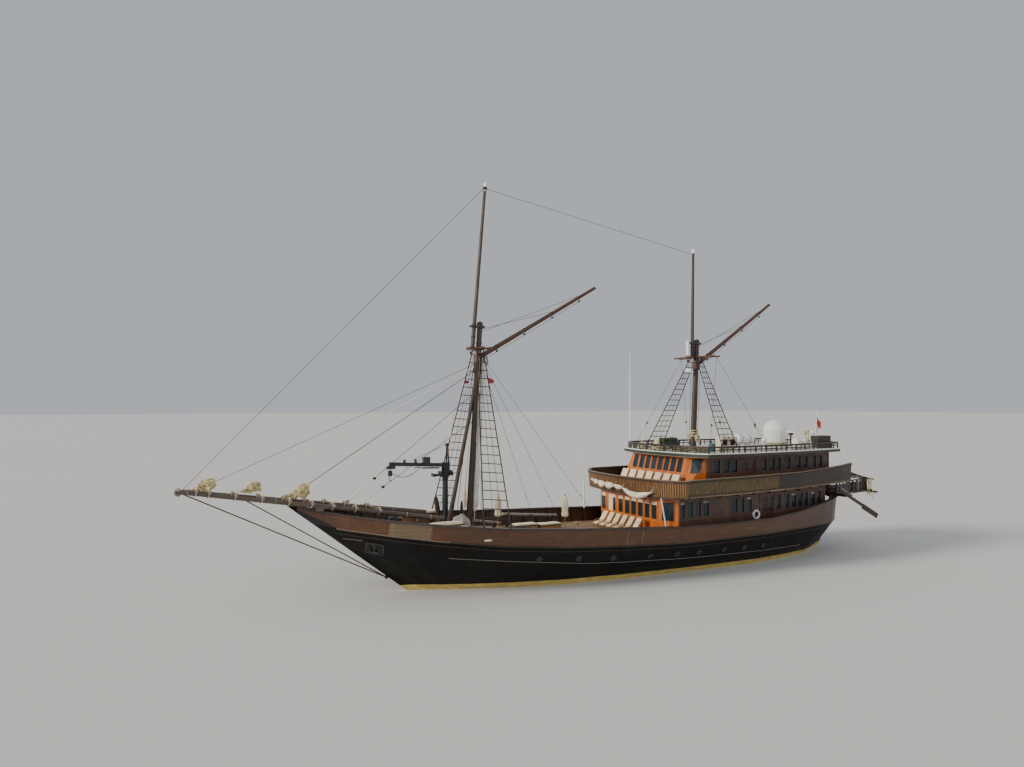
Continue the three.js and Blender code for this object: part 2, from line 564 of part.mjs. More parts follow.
const SALOON_STATIONS = [SALOON.aft, -12.7, -10, -7, -2.3, SALOON.corner - 0.11];
const UPPER_STATIONS = [UPPER.aft, UPPER.corner - 0.11];
for (const [where, side] of Object.entries(SIDES)) {
  add(`saloon_wall_${where}`, sided(sideWall(SALOON, 'saloon', deckTop, underDeck,
    SALOON_STATIONS), side), CABIN_BROWN);
  add(`cabin_wall_${where}`, sided(sideWall(UPPER, 'upper', onUpperDeck, underRoof,
    UPPER_STATIONS), side), CABIN_BROWN);
}

// House fronts: a flat front with a canted panel at each corner, leaning back by so much a metre.
const UPPER_LEAN = 0.27;
function frontPlan(house, lean, z0, z1, inset, spread = 0) {
  return [z0 - spread, z1 + spread].map((z) => {
    const back = lean * (z - z0);
    const [front, half] = [house.front - back - inset, house.frontHalf - back - 0.4 * inset];
    const [corner, wide] = [house.corner - 0.45 * inset, house.half - inset];
    const rear = house.corner - 0.1 - (inset ? 1 : 0);
    return [[rear, -wide, z], [corner, -wide, z], [front, -half, z],
      [front, half, z], [corner, wide, z], [rear, wide, z]];
  });
}
function frontWall(house, lean, z0, z1, windows) {
  const shell = loft(frontPlan(house, lean, z0, z1, 0));
  const room = loft(frontPlan(house, lean, z0, z1, WALL, 0.5));
  return cut(shell, room, ...windows);
}
// A pane through a canted panel, as a box turned to face it.
function cantedPane(house, lean, z0, half, width) {
  const [sill, head] = house.pane;
  const turn = Math.atan2(house.front - house.corner, house.half - half);
  const back = lean * ((sill + head) / 2 - z0);
  const [x, y] = [(house.front - back + house.corner) / 2, (half + house.half) / 2];
  return box(-0.5, 0.5, -width / 2, width / 2, sill, head)
    .rotateZ(Math.PI / 2 - turn).translate(x, y, 0);
}

const FRONT_PANES = {
  saloon: [[-3.2, -2.7], [-2.36, -1.48], [-1.14, -0.6], [-0.38, 0.2], [0.36, 0.93], [1.12, 1.7],
    [1.86, 2.42], [2.6, 3.18]],
  upper: [-2.72, -2.0, -1.3, -0.6, 0.1, 0.8, 1.5, 2.2].map((y) => [y, y + 0.56]),
};
const saloonFloor = deckTop(SALOON.front) + GAP;
const cabinFloor = onUpperDeck(UPPER.corner - 0.1) + GAP;
add('saloon_front', frontWall(SALOON, 0, saloonFloor, underDeck(SALOON.front) - GAP, [
  ...FRONT_PANES.saloon.map(([a, b]) => box(0.5, 1.6, a, b, ...SALOON.pane)),
  ...[1, -1].map((side) => sided(cantedPane(SALOON, 0, 0, SALOON.frontHalf, 0.7), side)),
]), ORANGE_TEAK);

add('wheelhouse_front', frontWall(UPPER, UPPER_LEAN, cabinFloor, underRoof(UPPER.front) - GAP, [
  ...FRONT_PANES.upper.map(([a, b]) => box(-2.0, 0.5, a, b, ...UPPER.pane)),
  ...[1, -1].map((side) => sided(cantedPane(UPPER, UPPER_LEAN, cabinFloor, UPPER.frontHalf - 0.3,
    0.56), side)),
]), ORANGE_TEAK);

for (const [name, house, floorAt, ceilingAt] of [
  ['saloon', SALOON, deckTop, underDeck], ['cabin', UPPER, onUpperDeck, underRoof]]) {
  const half = halfAt(house, house.aft) - WALL - GAP;
  const [z0, z1] = [floorAt(house.aft + WALL) + 3 * GAP, ceilingAt(house.aft + WALL) - 3 * GAP];
  const doorway = box(house.aft - 1, house.aft + 1, -0.75, 0.75, z0 + 0.1, z0 + 2.05);
  add(`${name}_aft_wall`, cut(box(house.aft, house.aft + WALL, -half, half, z0, z1), doorway),
    CABIN_BROWN);
}

// Upper deck and roof: bowed at the front, closing in aft. Columns: x, half-breadth.
const UPPER_EDGE = [[-16.6, 3.35], [-15.0, 3.85], [-12.4, 4.42], [-9.7, 4.98], [-7.4, 5.2],
  [-4.5, 5.45], [0.5, 5.54], [1.05, 4.9], [1.45, 4.1], [1.8, 2.5], [1.95, 0.8]];
const ROOF_EDGE = [[-15.0, 3.8], [-10.0, 4.6], [-5.0, 4.9], [-1.9, 4.69], [-1.45, 3.9],
  [-1.1, 2.6], [-0.9, 1.0]];
const plate = (edge, inset, lowAt, highAt) => loft(edge.map(([x, half]) => {
  const y = half - inset;
  return [[x, -y, lowAt(x)], [x, y, lowAt(x)], [x, y, highAt(x)], [x, -y, highAt(x)]];
}));
const PARAPET = 0.08;
const parapetCut = band(roundBow(UPPER_EDGE), -PARAPET - GAP, 0.6, 4, 6);
add('upper_deck', cut(plate(UPPER_EDGE, 0, underDeck, onUpperDeck), parapetCut), DECK_TEAK);
add('roof', plate(ROOF_EDGE, 0, underRoof, () => ROOF_TOP), ROOF_GREY);

// Parapet round the upper deck, open at the stern, halved at the bow. Ahead of the corner at x 0.5
// it reaches down past the deck. Columns: x, z of its top.
const PARAPET_TOP = [[-16.6, 6.5], [-15.0, 6.41], [-12.4, 6.3], [-9.7, 6.22], [-4.5, 6.18], [0.42, 6.12],
  [0.5, 6.07], [1.95, 6.07]];
const FLARE = 0.1;
const CORNER = UPPER_EDGE.findIndex(([x]) => x === 0.5);
const parapetLine = roundBow(UPPER_EDGE.toSpliced(CORNER, 0, [0.42, UPPER_EDGE[CORNER][1]]));
const parapetFoot = (x) => (x < 0.5 ? onUpperDeck(x) - 0.04 : underDeck(x) - 0.06);
const parapet = band(parapetLine, -PARAPET, 0, parapetFoot, (x) => read(PARAPET_TOP, x, 1), FLARE);
for (const [where, side] of Object.entries(SIDES)) {
  const half = side > 0 ? box(-20, 5, -8, GAP, 3, 8) : box(-20, 5, -GAP, 8, 3, 8);
  add(`upper_parapet_${where}`, cut(parapet, half), BULWARK_BROWN);
}

// Double doors in the side walls, each leaf on a pin at its outer jamb, opening outwards.
const LEAF = { thickness: 0.05, pin: 0.022, axis: 0.05, edge: 0.02 };
const leaves = {};
for (const [name, house, floorAt] of [['saloon', SALOON, deckTop], ['cabin', UPPER, onUpperDeck]]) {
  const door = DOORWAYS[name === 'saloon' ? 'saloon' : 'upper'];
  const sill = Math.max(floorAt(door.aft), floorAt(door.fore)) + SILL;
  const width = (door.fore - door.aft) / 2 - CLEAR;
  for (const [which, hinge, turn] of [['fore', door.fore, -1], ['aft', door.aft, 1]]) {
    const y = halfAt(house, hinge) - WALL / 2;
    const lean = WALL_TAPER * turn;
    const [near, far] = [turn * LEAF.edge, turn * width];
    const leaf = plateXZ([[near, sill + CLEAR], [far, sill + CLEAR], [far, door.head - CLEAR],
      [near, door.head - CLEAR]], -LEAF.thickness / 2, LEAF.thickness / 2);
    const pin = rod([turn * LEAF.axis, 0, sill + GAP], [turn * LEAF.axis, 0, door.head - GAP],
      LEAF.pin, LEAF.pin, 8);
    const panel = cut(leaf, box(turn * width * 0.2, turn * width * 0.88, -1, 1,
      sill + 1.1, door.head - 0.18));
    leaves[`${name}_door_${which}`] = join(panel, pin).rotateZ(Math.atan(lean) * turn)
      .translate(hinge, y, 0);
  }
}
for (const [name, leaf] of Object.entries(leaves)) {
  for (const [where, side] of Object.entries(SIDES)) {
    add(`${name}_${where}`, sided(leaf, side), CABIN_BROWN);
  }
}

// Foredeck crane: fixed pedestal, head that slews, boom that luffs.
const CRANE = { x: 14.1, y: -1.0, top: 6.4, pivot: 7.15, reach: 3.6, tip: 7.33, cheek: 0.17 };
const craneFoot = deckTop(CRANE.x) - 0.1;
add('crane_pedestal', cut(join(
  rod([CRANE.x, CRANE.y, craneFoot], [CRANE.x, CRANE.y, CRANE.top], 0.2, 0.17, 14),
  rod([CRANE.x, CRANE.y, craneFoot], [CRANE.x, CRANE.y, craneFoot + 0.22], 0.34, 0.34, 14),
), UNDER_DECK), STEEL_DARK);
// The legs lean in and aft to the sheave block at their head, clear of the boom when it is up.
const CRANE_HEAD = { low: CRANE.top + GAP, high: 6.75, mast: 8.45, leg: 0.08, lean: -0.12 };
add('crane_head', join(
  rod([CRANE.x, CRANE.y, CRANE_HEAD.low], [CRANE.x, CRANE.y, CRANE_HEAD.high], 0.24, 0.24, 14),
  ...[1, -1].map((s) => {
    const [a, b] = [CRANE.y + s * CRANE.cheek, CRANE.y + s * (CRANE.cheek + 0.05)].sort((p, q) => p - q);
    return box(CRANE.x - 0.22, CRANE.x + 0.16, a, b, CRANE_HEAD.high - 0.05, CRANE.pivot + 0.16);
  }),
  ...[1, -1].map((s) => timber([CRANE.x - 0.15, CRANE.y + s * (CRANE.cheek + 0.03), CRANE.pivot],
    [CRANE.x + CRANE_HEAD.lean, CRANE.y + s * 0.06, CRANE_HEAD.mast], CRANE_HEAD.leg, CRANE_HEAD.leg)),
  box(CRANE.x + CRANE_HEAD.lean - 0.1, CRANE.x + CRANE_HEAD.lean + 0.1, CRANE.y - 0.12, CRANE.y + 0.12,
    CRANE_HEAD.mast - 0.1, CRANE_HEAD.mast + 0.04),
), STEEL_DARK);
const boomTip = [CRANE.x + CRANE.reach, CRANE.y, CRANE.tip];
add('crane_boom', join(
  timber([CRANE.x - 0.1, CRANE.y, CRANE.pivot], boomTip, 0.2, 0.22),
  rod([CRANE.x, CRANE.y - CRANE.cheek + GAP, CRANE.pivot],
    [CRANE.x, CRANE.y + CRANE.cheek - GAP, CRANE.pivot], 0.06, 0.06, 12),
  box(CRANE.x + 1.05, CRANE.x + 1.45, CRANE.y - 0.18, CRANE.y + 0.18, 7.2, 7.68),
  rod([boomTip[0] - 0.05, CRANE.y, CRANE.tip], [boomTip[0] - 0.05, CRANE.y, CRANE.tip - 0.5], 0.03, 0.03, 6),
  box(boomTip[0] - 0.16, boomTip[0] + 0.06, CRANE.y - 0.1, CRANE.y + 0.1, CRANE.tip - 0.72, CRANE.tip - 0.4),
), STEEL_DARK);

// Stern gallery on the cap rail, with the beam that carries the two lifting quarter rudders.
const GALLERY = { aft: -20.3, fore: -16.9, half: 2.3, rise: 1.0, floor: capAt(-14.9) + CAP.height + GAP };
const QUARTER = { x: -14.75, y: 4.6, z: 4.3, beam: 0.11, tip: [-17.9, 2.72], top: [-14.0, 4.75] };
const galleryFloor = loft([[GALLERY.aft, 1.9], [-18.2, GALLERY.half], [-16.0, 2.75], [-14.95, 3.4]]
  .map(([x, half]) => [[x, -half, GALLERY.floor], [x, half, GALLERY.floor],
    [x, half, GALLERY.floor + 0.12], [x, -half, GALLERY.floor + 0.12]]));
const GALLERY_LINE = [[-15.3, 3.2], [-18.2, GALLERY.half - 0.08], [GALLERY.aft + 0.1, 1.8]];
const galleryRail = () => {
  const [z0, z1] = [GALLERY.floor + 0.06, GALLERY.floor + GALLERY.rise];
  const line = GALLERY_LINE.toReversed();
  const ring = [...line.map(([x, y]) => [x, -y]).reverse(), ...line];
  const posts = ring.map(([x, y]) => box(x - 0.05, x + 0.05, y - 0.05, y + 0.05, z0, z1 - 0.03));
  return [...posts, band(ring, -0.04, 0.04, z1 - 0.08, z1),
    band(ring, -0.03, 0.03, lerp(z0, z1, 0.45), lerp(z0, z1, 0.52))];
};
add('stern_gallery', join(galleryFloor, ...galleryRail(),
  rod([QUARTER.x, -QUARTER.y + 0.12, QUARTER.z], [QUARTER.x, QUARTER.y - 0.12, QUARTER.z],
    QUARTER.beam, QUARTER.beam, 10),
  ...[1, -1].map((side) => box(QUARTER.x - 0.5, QUARTER.x + 0.3, side * 3.2 - 0.2, side * 3.2 + 0.2,
    GALLERY.floor + 0.02, QUARTER.z)),
), SPAR_DARK);

for (const [where, side] of Object.entries(SIDES)) {
  const [a, b] = [QUARTER.top, QUARTER.tip];
  const blade = join(
    timber([a[0], QUARTER.y, a[1]], [b[0], QUARTER.y, b[1]], 0.1, 0.2),
    timber([lerp(a[0], b[0], 0.6), QUARTER.y, lerp(a[1], b[1], 0.6) - 0.06],
      [b[0], QUARTER.y, b[1] - 0.06], 0.08, 0.36),
    rod([QUARTER.x, QUARTER.y - 0.12 + GAP, QUARTER.z], [QUARTER.x, QUARTER.y, QUARTER.z],
      QUARTER.beam * 0.6, QUARTER.beam * 0.6, 10),
  );
  add(`quarter_rudder_${where}`, sided(blade, side), SPAR_DARK);
}

// Gear on the roof.
const roofAt = ROOF_TOP + GAP;
const dome = (x, y, radius, height) => {
  const profile = [[0, 0], [radius * 0.86, 0], [radius, height - radius]];
  for (let i = 1; i <= 6; i += 1) {
    const angle = i * 15 * DEG;
    profile.push([i === 6 ? 0 : radius * Math.cos(angle), height - radius + radius * Math.sin(angle)]);
  }
  const shape = new THREE.LatheGeometry(profile.map(([r, z]) => new THREE.Vector2(r, z)), 20);
  return shape.rotateX(Math.PI / 2).translate(x, y, roofAt);
};
add('radome', dome(-12.4, 0.0, 0.84, 2.05), WHITE);
add('sat_domes', join(dome(-13.5, 1.0, 0.41, 0.68), dome(-14.4, 1.0, 0.41, 0.68),
  box(-14.5, -13.4, 0.85, 1.15, roofAt, roofAt + 0.12)), WHITE);
// Two life rafts side by side on a rack, and two air units just ahead of them.
const RAFTS = { x: [-7.2, -5.82], y: [2.27, 2.98], z: roofAt + 0.8, radius: 0.31,
  rack: [1.94, 3.31], rail: 0.12, post: 0.08 };
const rackTop = RAFTS.z - RAFTS.radius + 0.02;
const rackFrame = (x) => [
  box(x, x + 0.1, ...RAFTS.rack, rackTop - RAFTS.rail, rackTop),
  ...[RAFTS.rack[0], RAFTS.rack[1] - RAFTS.post].map((y) =>
    box(x, x + 0.1, y, y + RAFTS.post, roofAt, rackTop - 0.02)),
];
add('liferafts', join(...RAFTS.y.map((y) => rod([RAFTS.x[0], y, RAFTS.z], [RAFTS.x[1], y, RAFTS.z],
  RAFTS.radius, RAFTS.radius, 14)), ...[-6.95, -6.15].flatMap(rackFrame)), WHITE);
const AIR_UNITS = { fore: [-5.02, -4.4], aft: [-5.68, -5.08] };
for (const [which, [aft, fore]] of Object.entries(AIR_UNITS)) {
  add(`air_unit_${which}`, box(aft, fore, 2.5, 3.1, roofAt, roofAt + 1.02), WHITE);
}

const RADAR = { x: -12.4, y: 1.6, top: 8.6, house: 0.12, half: 0.38 };
add('radar_post', join(
  rod([RADAR.x, RADAR.y, roofAt], [RADAR.x, RADAR.y, RADAR.top], 0.06, 0.06, 10),
  box(RADAR.x - RADAR.house, RADAR.x + RADAR.house, RADAR.y - RADAR.house, RADAR.y + RADAR.house,
    RADAR.top, RADAR.top + 0.16),
), WHITE);
add('radar_bar', join(
  box(RADAR.x - 0.05, RADAR.x + 0.05, RADAR.y - RADAR.half, RADAR.y + RADAR.half,
    RADAR.top + 0.2, RADAR.top + 0.3),
  rod([RADAR.x, RADAR.y, RADAR.top + 0.16 + GAP], [RADAR.x, RADAR.y, RADAR.top + 0.22], 0.05, 0.05, 10),
), WHITE);

// Low rail round the roof.
const ROOF_RAIL = { inset: 0.22, height: 0.42, step: 1.0, post: 0.035 };
function roofRail() {
  const line = roundBow(ROOF_EDGE.map(([x, half], i) =>
    [x - (i > 2 ? 0.25 : 0), half - (i > 4 ? 0 : ROOF_RAIL.inset)]));
  const z = roofAt + ROOF_RAIL.height;
  const parts = [
    band(line, -0.045, 0.045, z - 0.06, z),
    band([line[0], line.at(-1)], -0.04, 0.04, z - 0.05, z - 0.005),
  ];
  for (let i = 0; i + 1 < line.length; i += 1) {
    const [a, b] = [line[i], line[i + 1]];
    const steps = Math.max(1, Math.round(Math.hypot(b[0] - a[0], b[1] - a[1]) / ROOF_RAIL.step));
    for (let k = 0; k < steps; k += 1) {
      const [x, y] = [lerp(a[0], b[0], k / steps), lerp(a[1], b[1], k / steps)];
      parts.push(box(x - ROOF_RAIL.post, x + ROOF_RAIL.post, y - ROOF_RAIL.post, y + ROOF_RAIL.post,
        roofAt, z - 0.03));
    }
  }
  return join(...parts);
}
add('roof_rail', roofRail(), RAIL_DARK);

export default ship;
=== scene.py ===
"""Dresses the two-masted wooden schooner: finishes, glass, planking, rigging, sails and deck gear.

Every length in this file is in metres of the full-size ship. SCALE makes the 1:2 model of it.
+X is the bow, +Y port and +Z up, with the origin on the waterline amidships.
"""

import math
from dataclasses import dataclass
from functools import lru_cache

import bmesh
import bpy
from bpy.props import FloatProperty, FloatVectorProperty, PointerProperty
from mathutils import Matrix, Vector, noise
from mathutils.bvhtree import BVHTree


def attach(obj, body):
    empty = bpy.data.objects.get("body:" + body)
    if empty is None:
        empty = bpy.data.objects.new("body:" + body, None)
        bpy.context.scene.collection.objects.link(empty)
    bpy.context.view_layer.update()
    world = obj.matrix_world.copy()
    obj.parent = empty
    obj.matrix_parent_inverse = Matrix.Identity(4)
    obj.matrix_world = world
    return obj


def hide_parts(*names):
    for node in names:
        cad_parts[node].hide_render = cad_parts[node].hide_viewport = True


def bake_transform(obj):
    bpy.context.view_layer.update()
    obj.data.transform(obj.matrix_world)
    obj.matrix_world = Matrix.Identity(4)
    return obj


bl_info = {
    "name": "Wooden schooner dressing",
    "version": (1, 0, 0),
    "blender": (4, 5, 0),
    "location": "3D View > Sidebar > Schooner",
    "description": "Finishes, rigging and deck gear for the two-masted wooden schooner",
    "category": "Object",
}

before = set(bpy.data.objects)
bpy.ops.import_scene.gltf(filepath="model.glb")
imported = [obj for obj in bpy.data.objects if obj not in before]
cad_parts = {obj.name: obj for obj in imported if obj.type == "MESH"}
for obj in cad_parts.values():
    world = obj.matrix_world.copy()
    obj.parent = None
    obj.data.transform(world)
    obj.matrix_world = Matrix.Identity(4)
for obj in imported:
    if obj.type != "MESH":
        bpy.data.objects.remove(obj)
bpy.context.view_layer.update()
SCALE = 0.5
SHIP = "ship"
SIDES = {"port": 1, "starboard": -1}
# Edges under this many degrees are shaded smooth
SMOOTH_UNDER = 40
# A pennant is cut this much larger than it hangs
CUT_SHARE = 1.08
X, Y, Z = Vector((1, 0, 0)), Vector((0, 1, 0)), Vector((0, 0, 1))


# Sizes and colours that a user may change

def colour(name, value, description):
    return FloatVectorProperty(name=name, description=description, subtype="COLOR", size=4,
                               min=0, max=1, default=(*value, 1))


def length(name, value, description):
    return FloatProperty(name=name, description=description, default=value, min=0,
                         unit="LENGTH")


class SchoonerColours(bpy.types.PropertyGroup):
    """Base colours of the ship's finishes."""
    hull: colour("Hull", (0.0045, 0.0042, 0.0040), "Black paint of the topsides")
    boot_top: colour("Boot-top", (0.78, 0.58, 0.18), "Stripe at the waterline")
    bottom: colour("Bottom", (0.055, 0.020, 0.014), "Paint under the waterline")
    bulwark: colour("Bulwark", (0.105, 0.042, 0.018), "Oiled planks of the bulwark")
    # Fronts and house sides are one varnished wood, painted as lit and shaded copies: sunlit bright orange
    # on the fronts, shaded dark brown on the sides.
    front: colour("Front varnish", (0.66, 0.165, 0.014), "Varnished house fronts")
    cabin: colour("Cabin side", (0.112, 0.050, 0.030), "Dark planks of the house sides")
    trim: colour("Trim", (0.032, 0.016, 0.010), "Rails, caps and mouldings")
    deck: colour("Deck", (0.36, 0.25, 0.15), "Weathered deck planks")
    spar: colour("Spars", (0.050, 0.026, 0.015), "Masts and gaffs")
    canvas: colour("Canvas", (0.82, 0.72, 0.50), "Sails, awnings and cushions")
    ochre: colour("Jib bundles", (0.80, 0.66, 0.34), "Stowed jibs on the bowsprit")
    glass: colour("Glass", (0.012, 0.020, 0.026), "Window glass")


class SchoonerSizes(bpy.types.PropertyGroup):
    """Sizes of the dressing, in metres of the full-size ship."""
    boot_top: length("Boot-top height", 0.34, "Height of the stripe over the waterline")
    plank: length("Plank width", 0.24, "Width of hull and bulwark planks")
    deck_plank: length("Deck plank width", 0.14, "Width of deck planks")
    stave: length("Stave spacing", 0.16, "From one parapet stave to the next")
    porthole: length("Porthole radius", 0.17, "Radius of the porthole rings")
    wire: length("Wire radius", 0.020, "Radius of stays and lines")
    shroud: length("Lanyard radius", 0.016, "Radius of lanyards and lashings")


def colours():
    return bpy.context.scene.schooner_colours


def sizes():
    return bpy.context.scene.schooner_sizes


# Finishes

class Finish:
    """One procedural material. Patterns read the object's place in full-size metres."""

    def __init__(self, name, roughness=0.5, metallic=0.0, coat=0.0, sheen=0.0):
        self.material = bpy.data.materials.new(name)
        self.material.use_nodes = True
        self.tree = self.material.node_tree
        self.shader = self.tree.nodes["Principled BSDF"]
        self.shader.inputs["Roughness"].default_value = roughness
        self.shader.inputs["Metallic"].default_value = metallic
        self.shader.inputs["Coat Weight"].default_value = coat
        self.shader.inputs["Coat Roughness"].default_value = 0.25
        self.shader.inputs["Sheen Weight"].default_value = sheen
        self.metres = self.place()

    def node(self, kind, inputs=(), **settings):
        made = self.tree.nodes.new(kind)
        for key, value in settings.items():
            setattr(made, key, value)
        for socket, value in inputs:
            if isinstance(value, bpy.types.NodeSocket):
                self.tree.links.new(value, made.inputs[socket])
            elif value is not None:
                made.inputs[socket].default_value = value
        return made

    def place(self, stretch=(1, 1, 1), turn=(0, 0, 0)):
        """The object's own coordinates in full-size metres, turned and then stretched."""
        where = self.node("ShaderNodeTexCoord").outputs["Object"]
        turned = self.node("ShaderNodeMapping", [
            (0, where), (2, turn), (3, (1 / SCALE,) * 3)]).outputs[0]
        if tuple(stretch) == (1, 1, 1):
            return turned
        return self.node("ShaderNodeMapping", [(0, turned), (3, stretch)]).outputs[0]

    def noise(self, vector, scale, detail=4.0, rough=0.6, warp=0.0):
        return self.node("ShaderNodeTexNoise", [
            ("Vector", vector), ("Scale", scale), ("Detail", detail),
            ("Roughness", rough), ("Distortion", warp)]).outputs[0]

    def maths(self, operation, a, b=None):
        return self.node("ShaderNodeMath", [(0, a), (1, b)], operation=operation).outputs[0]

    def plus(self, a, b):
        return self.maths("ADD", a, b)

    def minus(self, a, b):
        return self.maths("SUBTRACT", a, b)

    def times(self, a, b):
        return self.maths("MULTIPLY", a, b)

    def spread(self, value, low, high, to_low=0.0, to_high=1.0):
        return self.node("ShaderNodeMapRange", [
            (0, value), (1, low), (2, high), (3, to_low), (4, to_high)]).outputs[0]

    def blend(self, factor, a, b, kind="MIX"):
        return self.node("ShaderNodeMix", [(0, factor), (6, a), (7, b)],
                         data_type="RGBA", blend_type=kind).outputs[2]

    def axis(self, vector, letter):
        return self.node("ShaderNodeSeparateXYZ", [(0, vector)]).outputs["XYZ".index(letter)]

    def boards(self, across, along, pitch, run, seam=0.06):
        """Tint of each board from 0 to 1, and how far a point is in a seam."""
        row = self.maths("DIVIDE", self.axis(self.metres, across), pitch)
        number = self.maths("FLOOR", row)
        jog = self.node("ShaderNodeTexWhiteNoise", [(1, number)], noise_dimensions="1D").outputs[0]
        way = self.plus(self.maths("DIVIDE", self.axis(self.metres, along), run),
                         self.times(jog, 7.0))
        cell = self.node("ShaderNodeCombineXYZ", [
            (0, number), (1, self.maths("FLOOR", way))]).outputs[0]
        tint = self.node("ShaderNodeTexWhiteNoise", [(0, cell)]).outputs[0]
        edge = self.maths("ABSOLUTE", self.minus(self.maths("FRACT", row), 0.5))
        butt = self.maths("ABSOLUTE", self.minus(self.maths("FRACT", way), 0.5))
        seams = self.maths("MAXIMUM", self.spread(edge, 0.5 - seam, 0.5),
                           self.spread(butt, 0.5 - seam * pitch / run, 0.5))
        return tint, seams

    def bump(self, height, strength, distance=0.01):
        made = self.node("ShaderNodeBump", [
            ("Height", height), ("Strength", strength), ("Distance", distance * SCALE)])
        self.tree.links.new(made.outputs[0], self.shader.inputs["Normal"])

    def plank_grain(self):
        return self.noise(self.place((0.7, 14, 14)), 1.0, 5, 0.65, 0.3)

    def plank_bump(self, grain, seams):
        self.bump(self.minus(self.times(grain, 0.3), seams), 0.5, 0.012)

    def inboard_shade(self, share):
        """Painted shade: this share on faces that look towards the ship's middle line, and 0 on the
        others.
        """
        facing = self.axis(self.node("ShaderNodeNewGeometry").outputs["True Normal"], "Y")
        outward = self.times(facing, self.maths("SIGN", self.axis(self.metres, "Y")))
        return self.spread(outward, -0.1, -0.3, 0.0, share)

    def show(self, base, rough=None):
        self.tree.links.new(base, self.shader.inputs["Base Color"])
        if rough is not None:
            self.tree.links.new(rough, self.shader.inputs["Roughness"])
        return self.material


def shade(value, amount):
    return tuple(min(1.0, c * amount) for c in value[:3]) + (1,)


def wood(name, base, across="Z", along="X", pitch=0.0, run=4.0, rough=0.55, coat=0.0,
         turn=(0, 0, 0), wear=0.35, contrast=1.0):
    """Timber with its grain along one axis, in boards where pitch isn't 0."""
    made = Finish(name, rough, coat=coat)
    stretch = [16, 16, 16]
    stretch["XYZ".index(along)] = 0.9
    grain = made.noise(made.place(stretch, turn), 1.0, 5, 0.65, 0.3)
    figure = made.spread(grain, 0.32, 0.70)
    base_tint = made.blend(figure, shade(base, 1 - 0.45 * contrast),
                           shade(base, 1 + 0.35 * contrast))
    weather = made.spread(made.noise(made.metres, 0.55, 5, 0.7), 0.40, 0.72)
    grey = (0.30 * base[0] + 0.10, 0.30 * base[1] + 0.095, 0.30 * base[2] + 0.085, 1)
    tint = made.blend(made.times(weather, wear), base_tint, grey)
    height = grain
    if pitch:
        each, seams = made.boards(across, along, pitch, run)
        tint = made.blend(made.spread(each, 0, 1, 0.0, 0.62), tint, shade(base, 0.42))
        tint = made.blend(made.times(seams, 0.85), tint, shade(base, 0.15))
        height = made.minus(made.times(grain, 0.25), seams)
    made.bump(height, 0.55, 0.012)
    roughness = made.spread(weather, 0, 1, rough - 0.08, min(1.0, rough + 0.22))
    return made.show(tint, roughness)


def paint(name, base, rough=0.4, metallic=0.0, dirt=0.25, grain=3.0, coat=0.0, bump=0.12):
    """Painted or cast surface with a little dirt and an uneven gloss."""
    made = Finish(name, rough, metallic, coat=coat)
    patches = made.spread(made.noise(made.metres, grain, 6, 0.7), 0.42, 0.75)
    streaks = made.spread(made.noise(made.place((5, 5, 0.8)), 1.0, 4, 0.6), 0.45, 0.8)
    tint = made.blend(made.times(patches, dirt), tuple(base[:3]) + (1,), shade(base, 0.55))
    tint = made.blend(made.times(streaks, dirt * 0.8), tint, shade(base, 0.72))
    made.bump(made.noise(made.metres, 40, 3), bump, 0.004)
    return made.show(tint, made.spread(patches, 0, 1, rough, min(1.0, rough + 0.2)))


def hull_paint(base, stripe, bottom, height, pitch):
    """Black topsides over planks, a stripe at the waterline and bottom paint under it."""
    made = Finish("hull_paint", 0.5, coat=0.03)
    made.shader.inputs["Specular IOR Level"].default_value = 0.16
    level = made.axis(made.metres, "Z")
    bloom = made.spread(made.noise(made.place((0.5, 0.5, 1.3)), 1.0, 6, 0.65), 0.40, 0.78)
    streaks = made.spread(made.noise(made.place((2.4, 2.4, 0.12)), 1.0, 5, 0.6), 0.50, 0.78)
    tint = made.blend(made.times(bloom, 0.7), tuple(base), (0.012, 0.0115, 0.011, 1))
    tint = made.blend(made.times(streaks, 0.35), tint, (0.022, 0.018, 0.014, 1))
    scum = made.spread(made.noise(made.place((1.5, 1.5, 6)), 1.0, 5, 0.7), 0.35, 0.75)
    gold = made.blend(scum, tuple(stripe), shade(stripe, 0.45))
    wavy = made.plus(level, made.times(made.noise(made.metres, 0.8), 0.02))
    tint = made.blend(made.spread(wavy, height + 0.01, height), tint, gold)
    under = made.blend(bloom, tuple(bottom), shade(bottom, 0.5))
    tint = made.blend(made.spread(level, 0.0, -0.02), tint, under)
    _, seams = made.boards("Z", "X", pitch, 5.5, 0.05)
    made.bump(made.minus(made.times(bloom, 0.3), seams), 0.35, 0.010)
    return made.show(tint, made.spread(bloom, 0, 1, 0.46, 0.66))


def bulwark_wood(base, pitch):
    """Oiled bulwark planks: a pale new length near the bow, painted shade inside, black at the stem."""
    made = Finish("bulwark_wood", 0.5, coat=0.12)
    grain = made.plank_grain()
    tint = made.blend(made.spread(grain, 0.3, 0.7), shade(base, 0.55), shade(base, 1.5))
    each, seams = made.boards("Z", "X", pitch, 3.4, 0.045)
    tint = made.blend(made.spread(each, 0, 1, 0, 0.55), tint, shade(base, 0.6))
    x = made.axis(made.metres, "X")
    bow = made.times(made.spread(x, 16.6, 16.7), made.spread(x, 18.9, 18.8))
    tint = made.blend(made.times(bow, 0.75), tint, (0.20, 0.145, 0.085, 1))
    aft = made.spread(x, -3.0, -14.0, 0.0, 0.55)
    tint = made.blend(aft, tint, (0.085, 0.070, 0.062, 1))
    # Painted shade on the faces that look inboard.
    tint = made.blend(made.inboard_shade(0.85), tint, shade(base, 0.16))
    painted = made.minus(made.axis(made.metres, "Z"),
                         made.spread(x, 21.4, 23.4, 4.08, 5.10))
    black = made.times(made.spread(painted, 0.02, 0.0), made.spread(x, 21.4, 21.41))
    tint = made.blend(black, tint, (0.006, 0.006, 0.006, 1))
    tint = made.blend(made.times(seams, 0.8), tint, shade(base, 0.18))
    made.plank_bump(grain, seams)
    return made.show(tint, made.spread(grain, 0, 1, 0.38, 0.62))


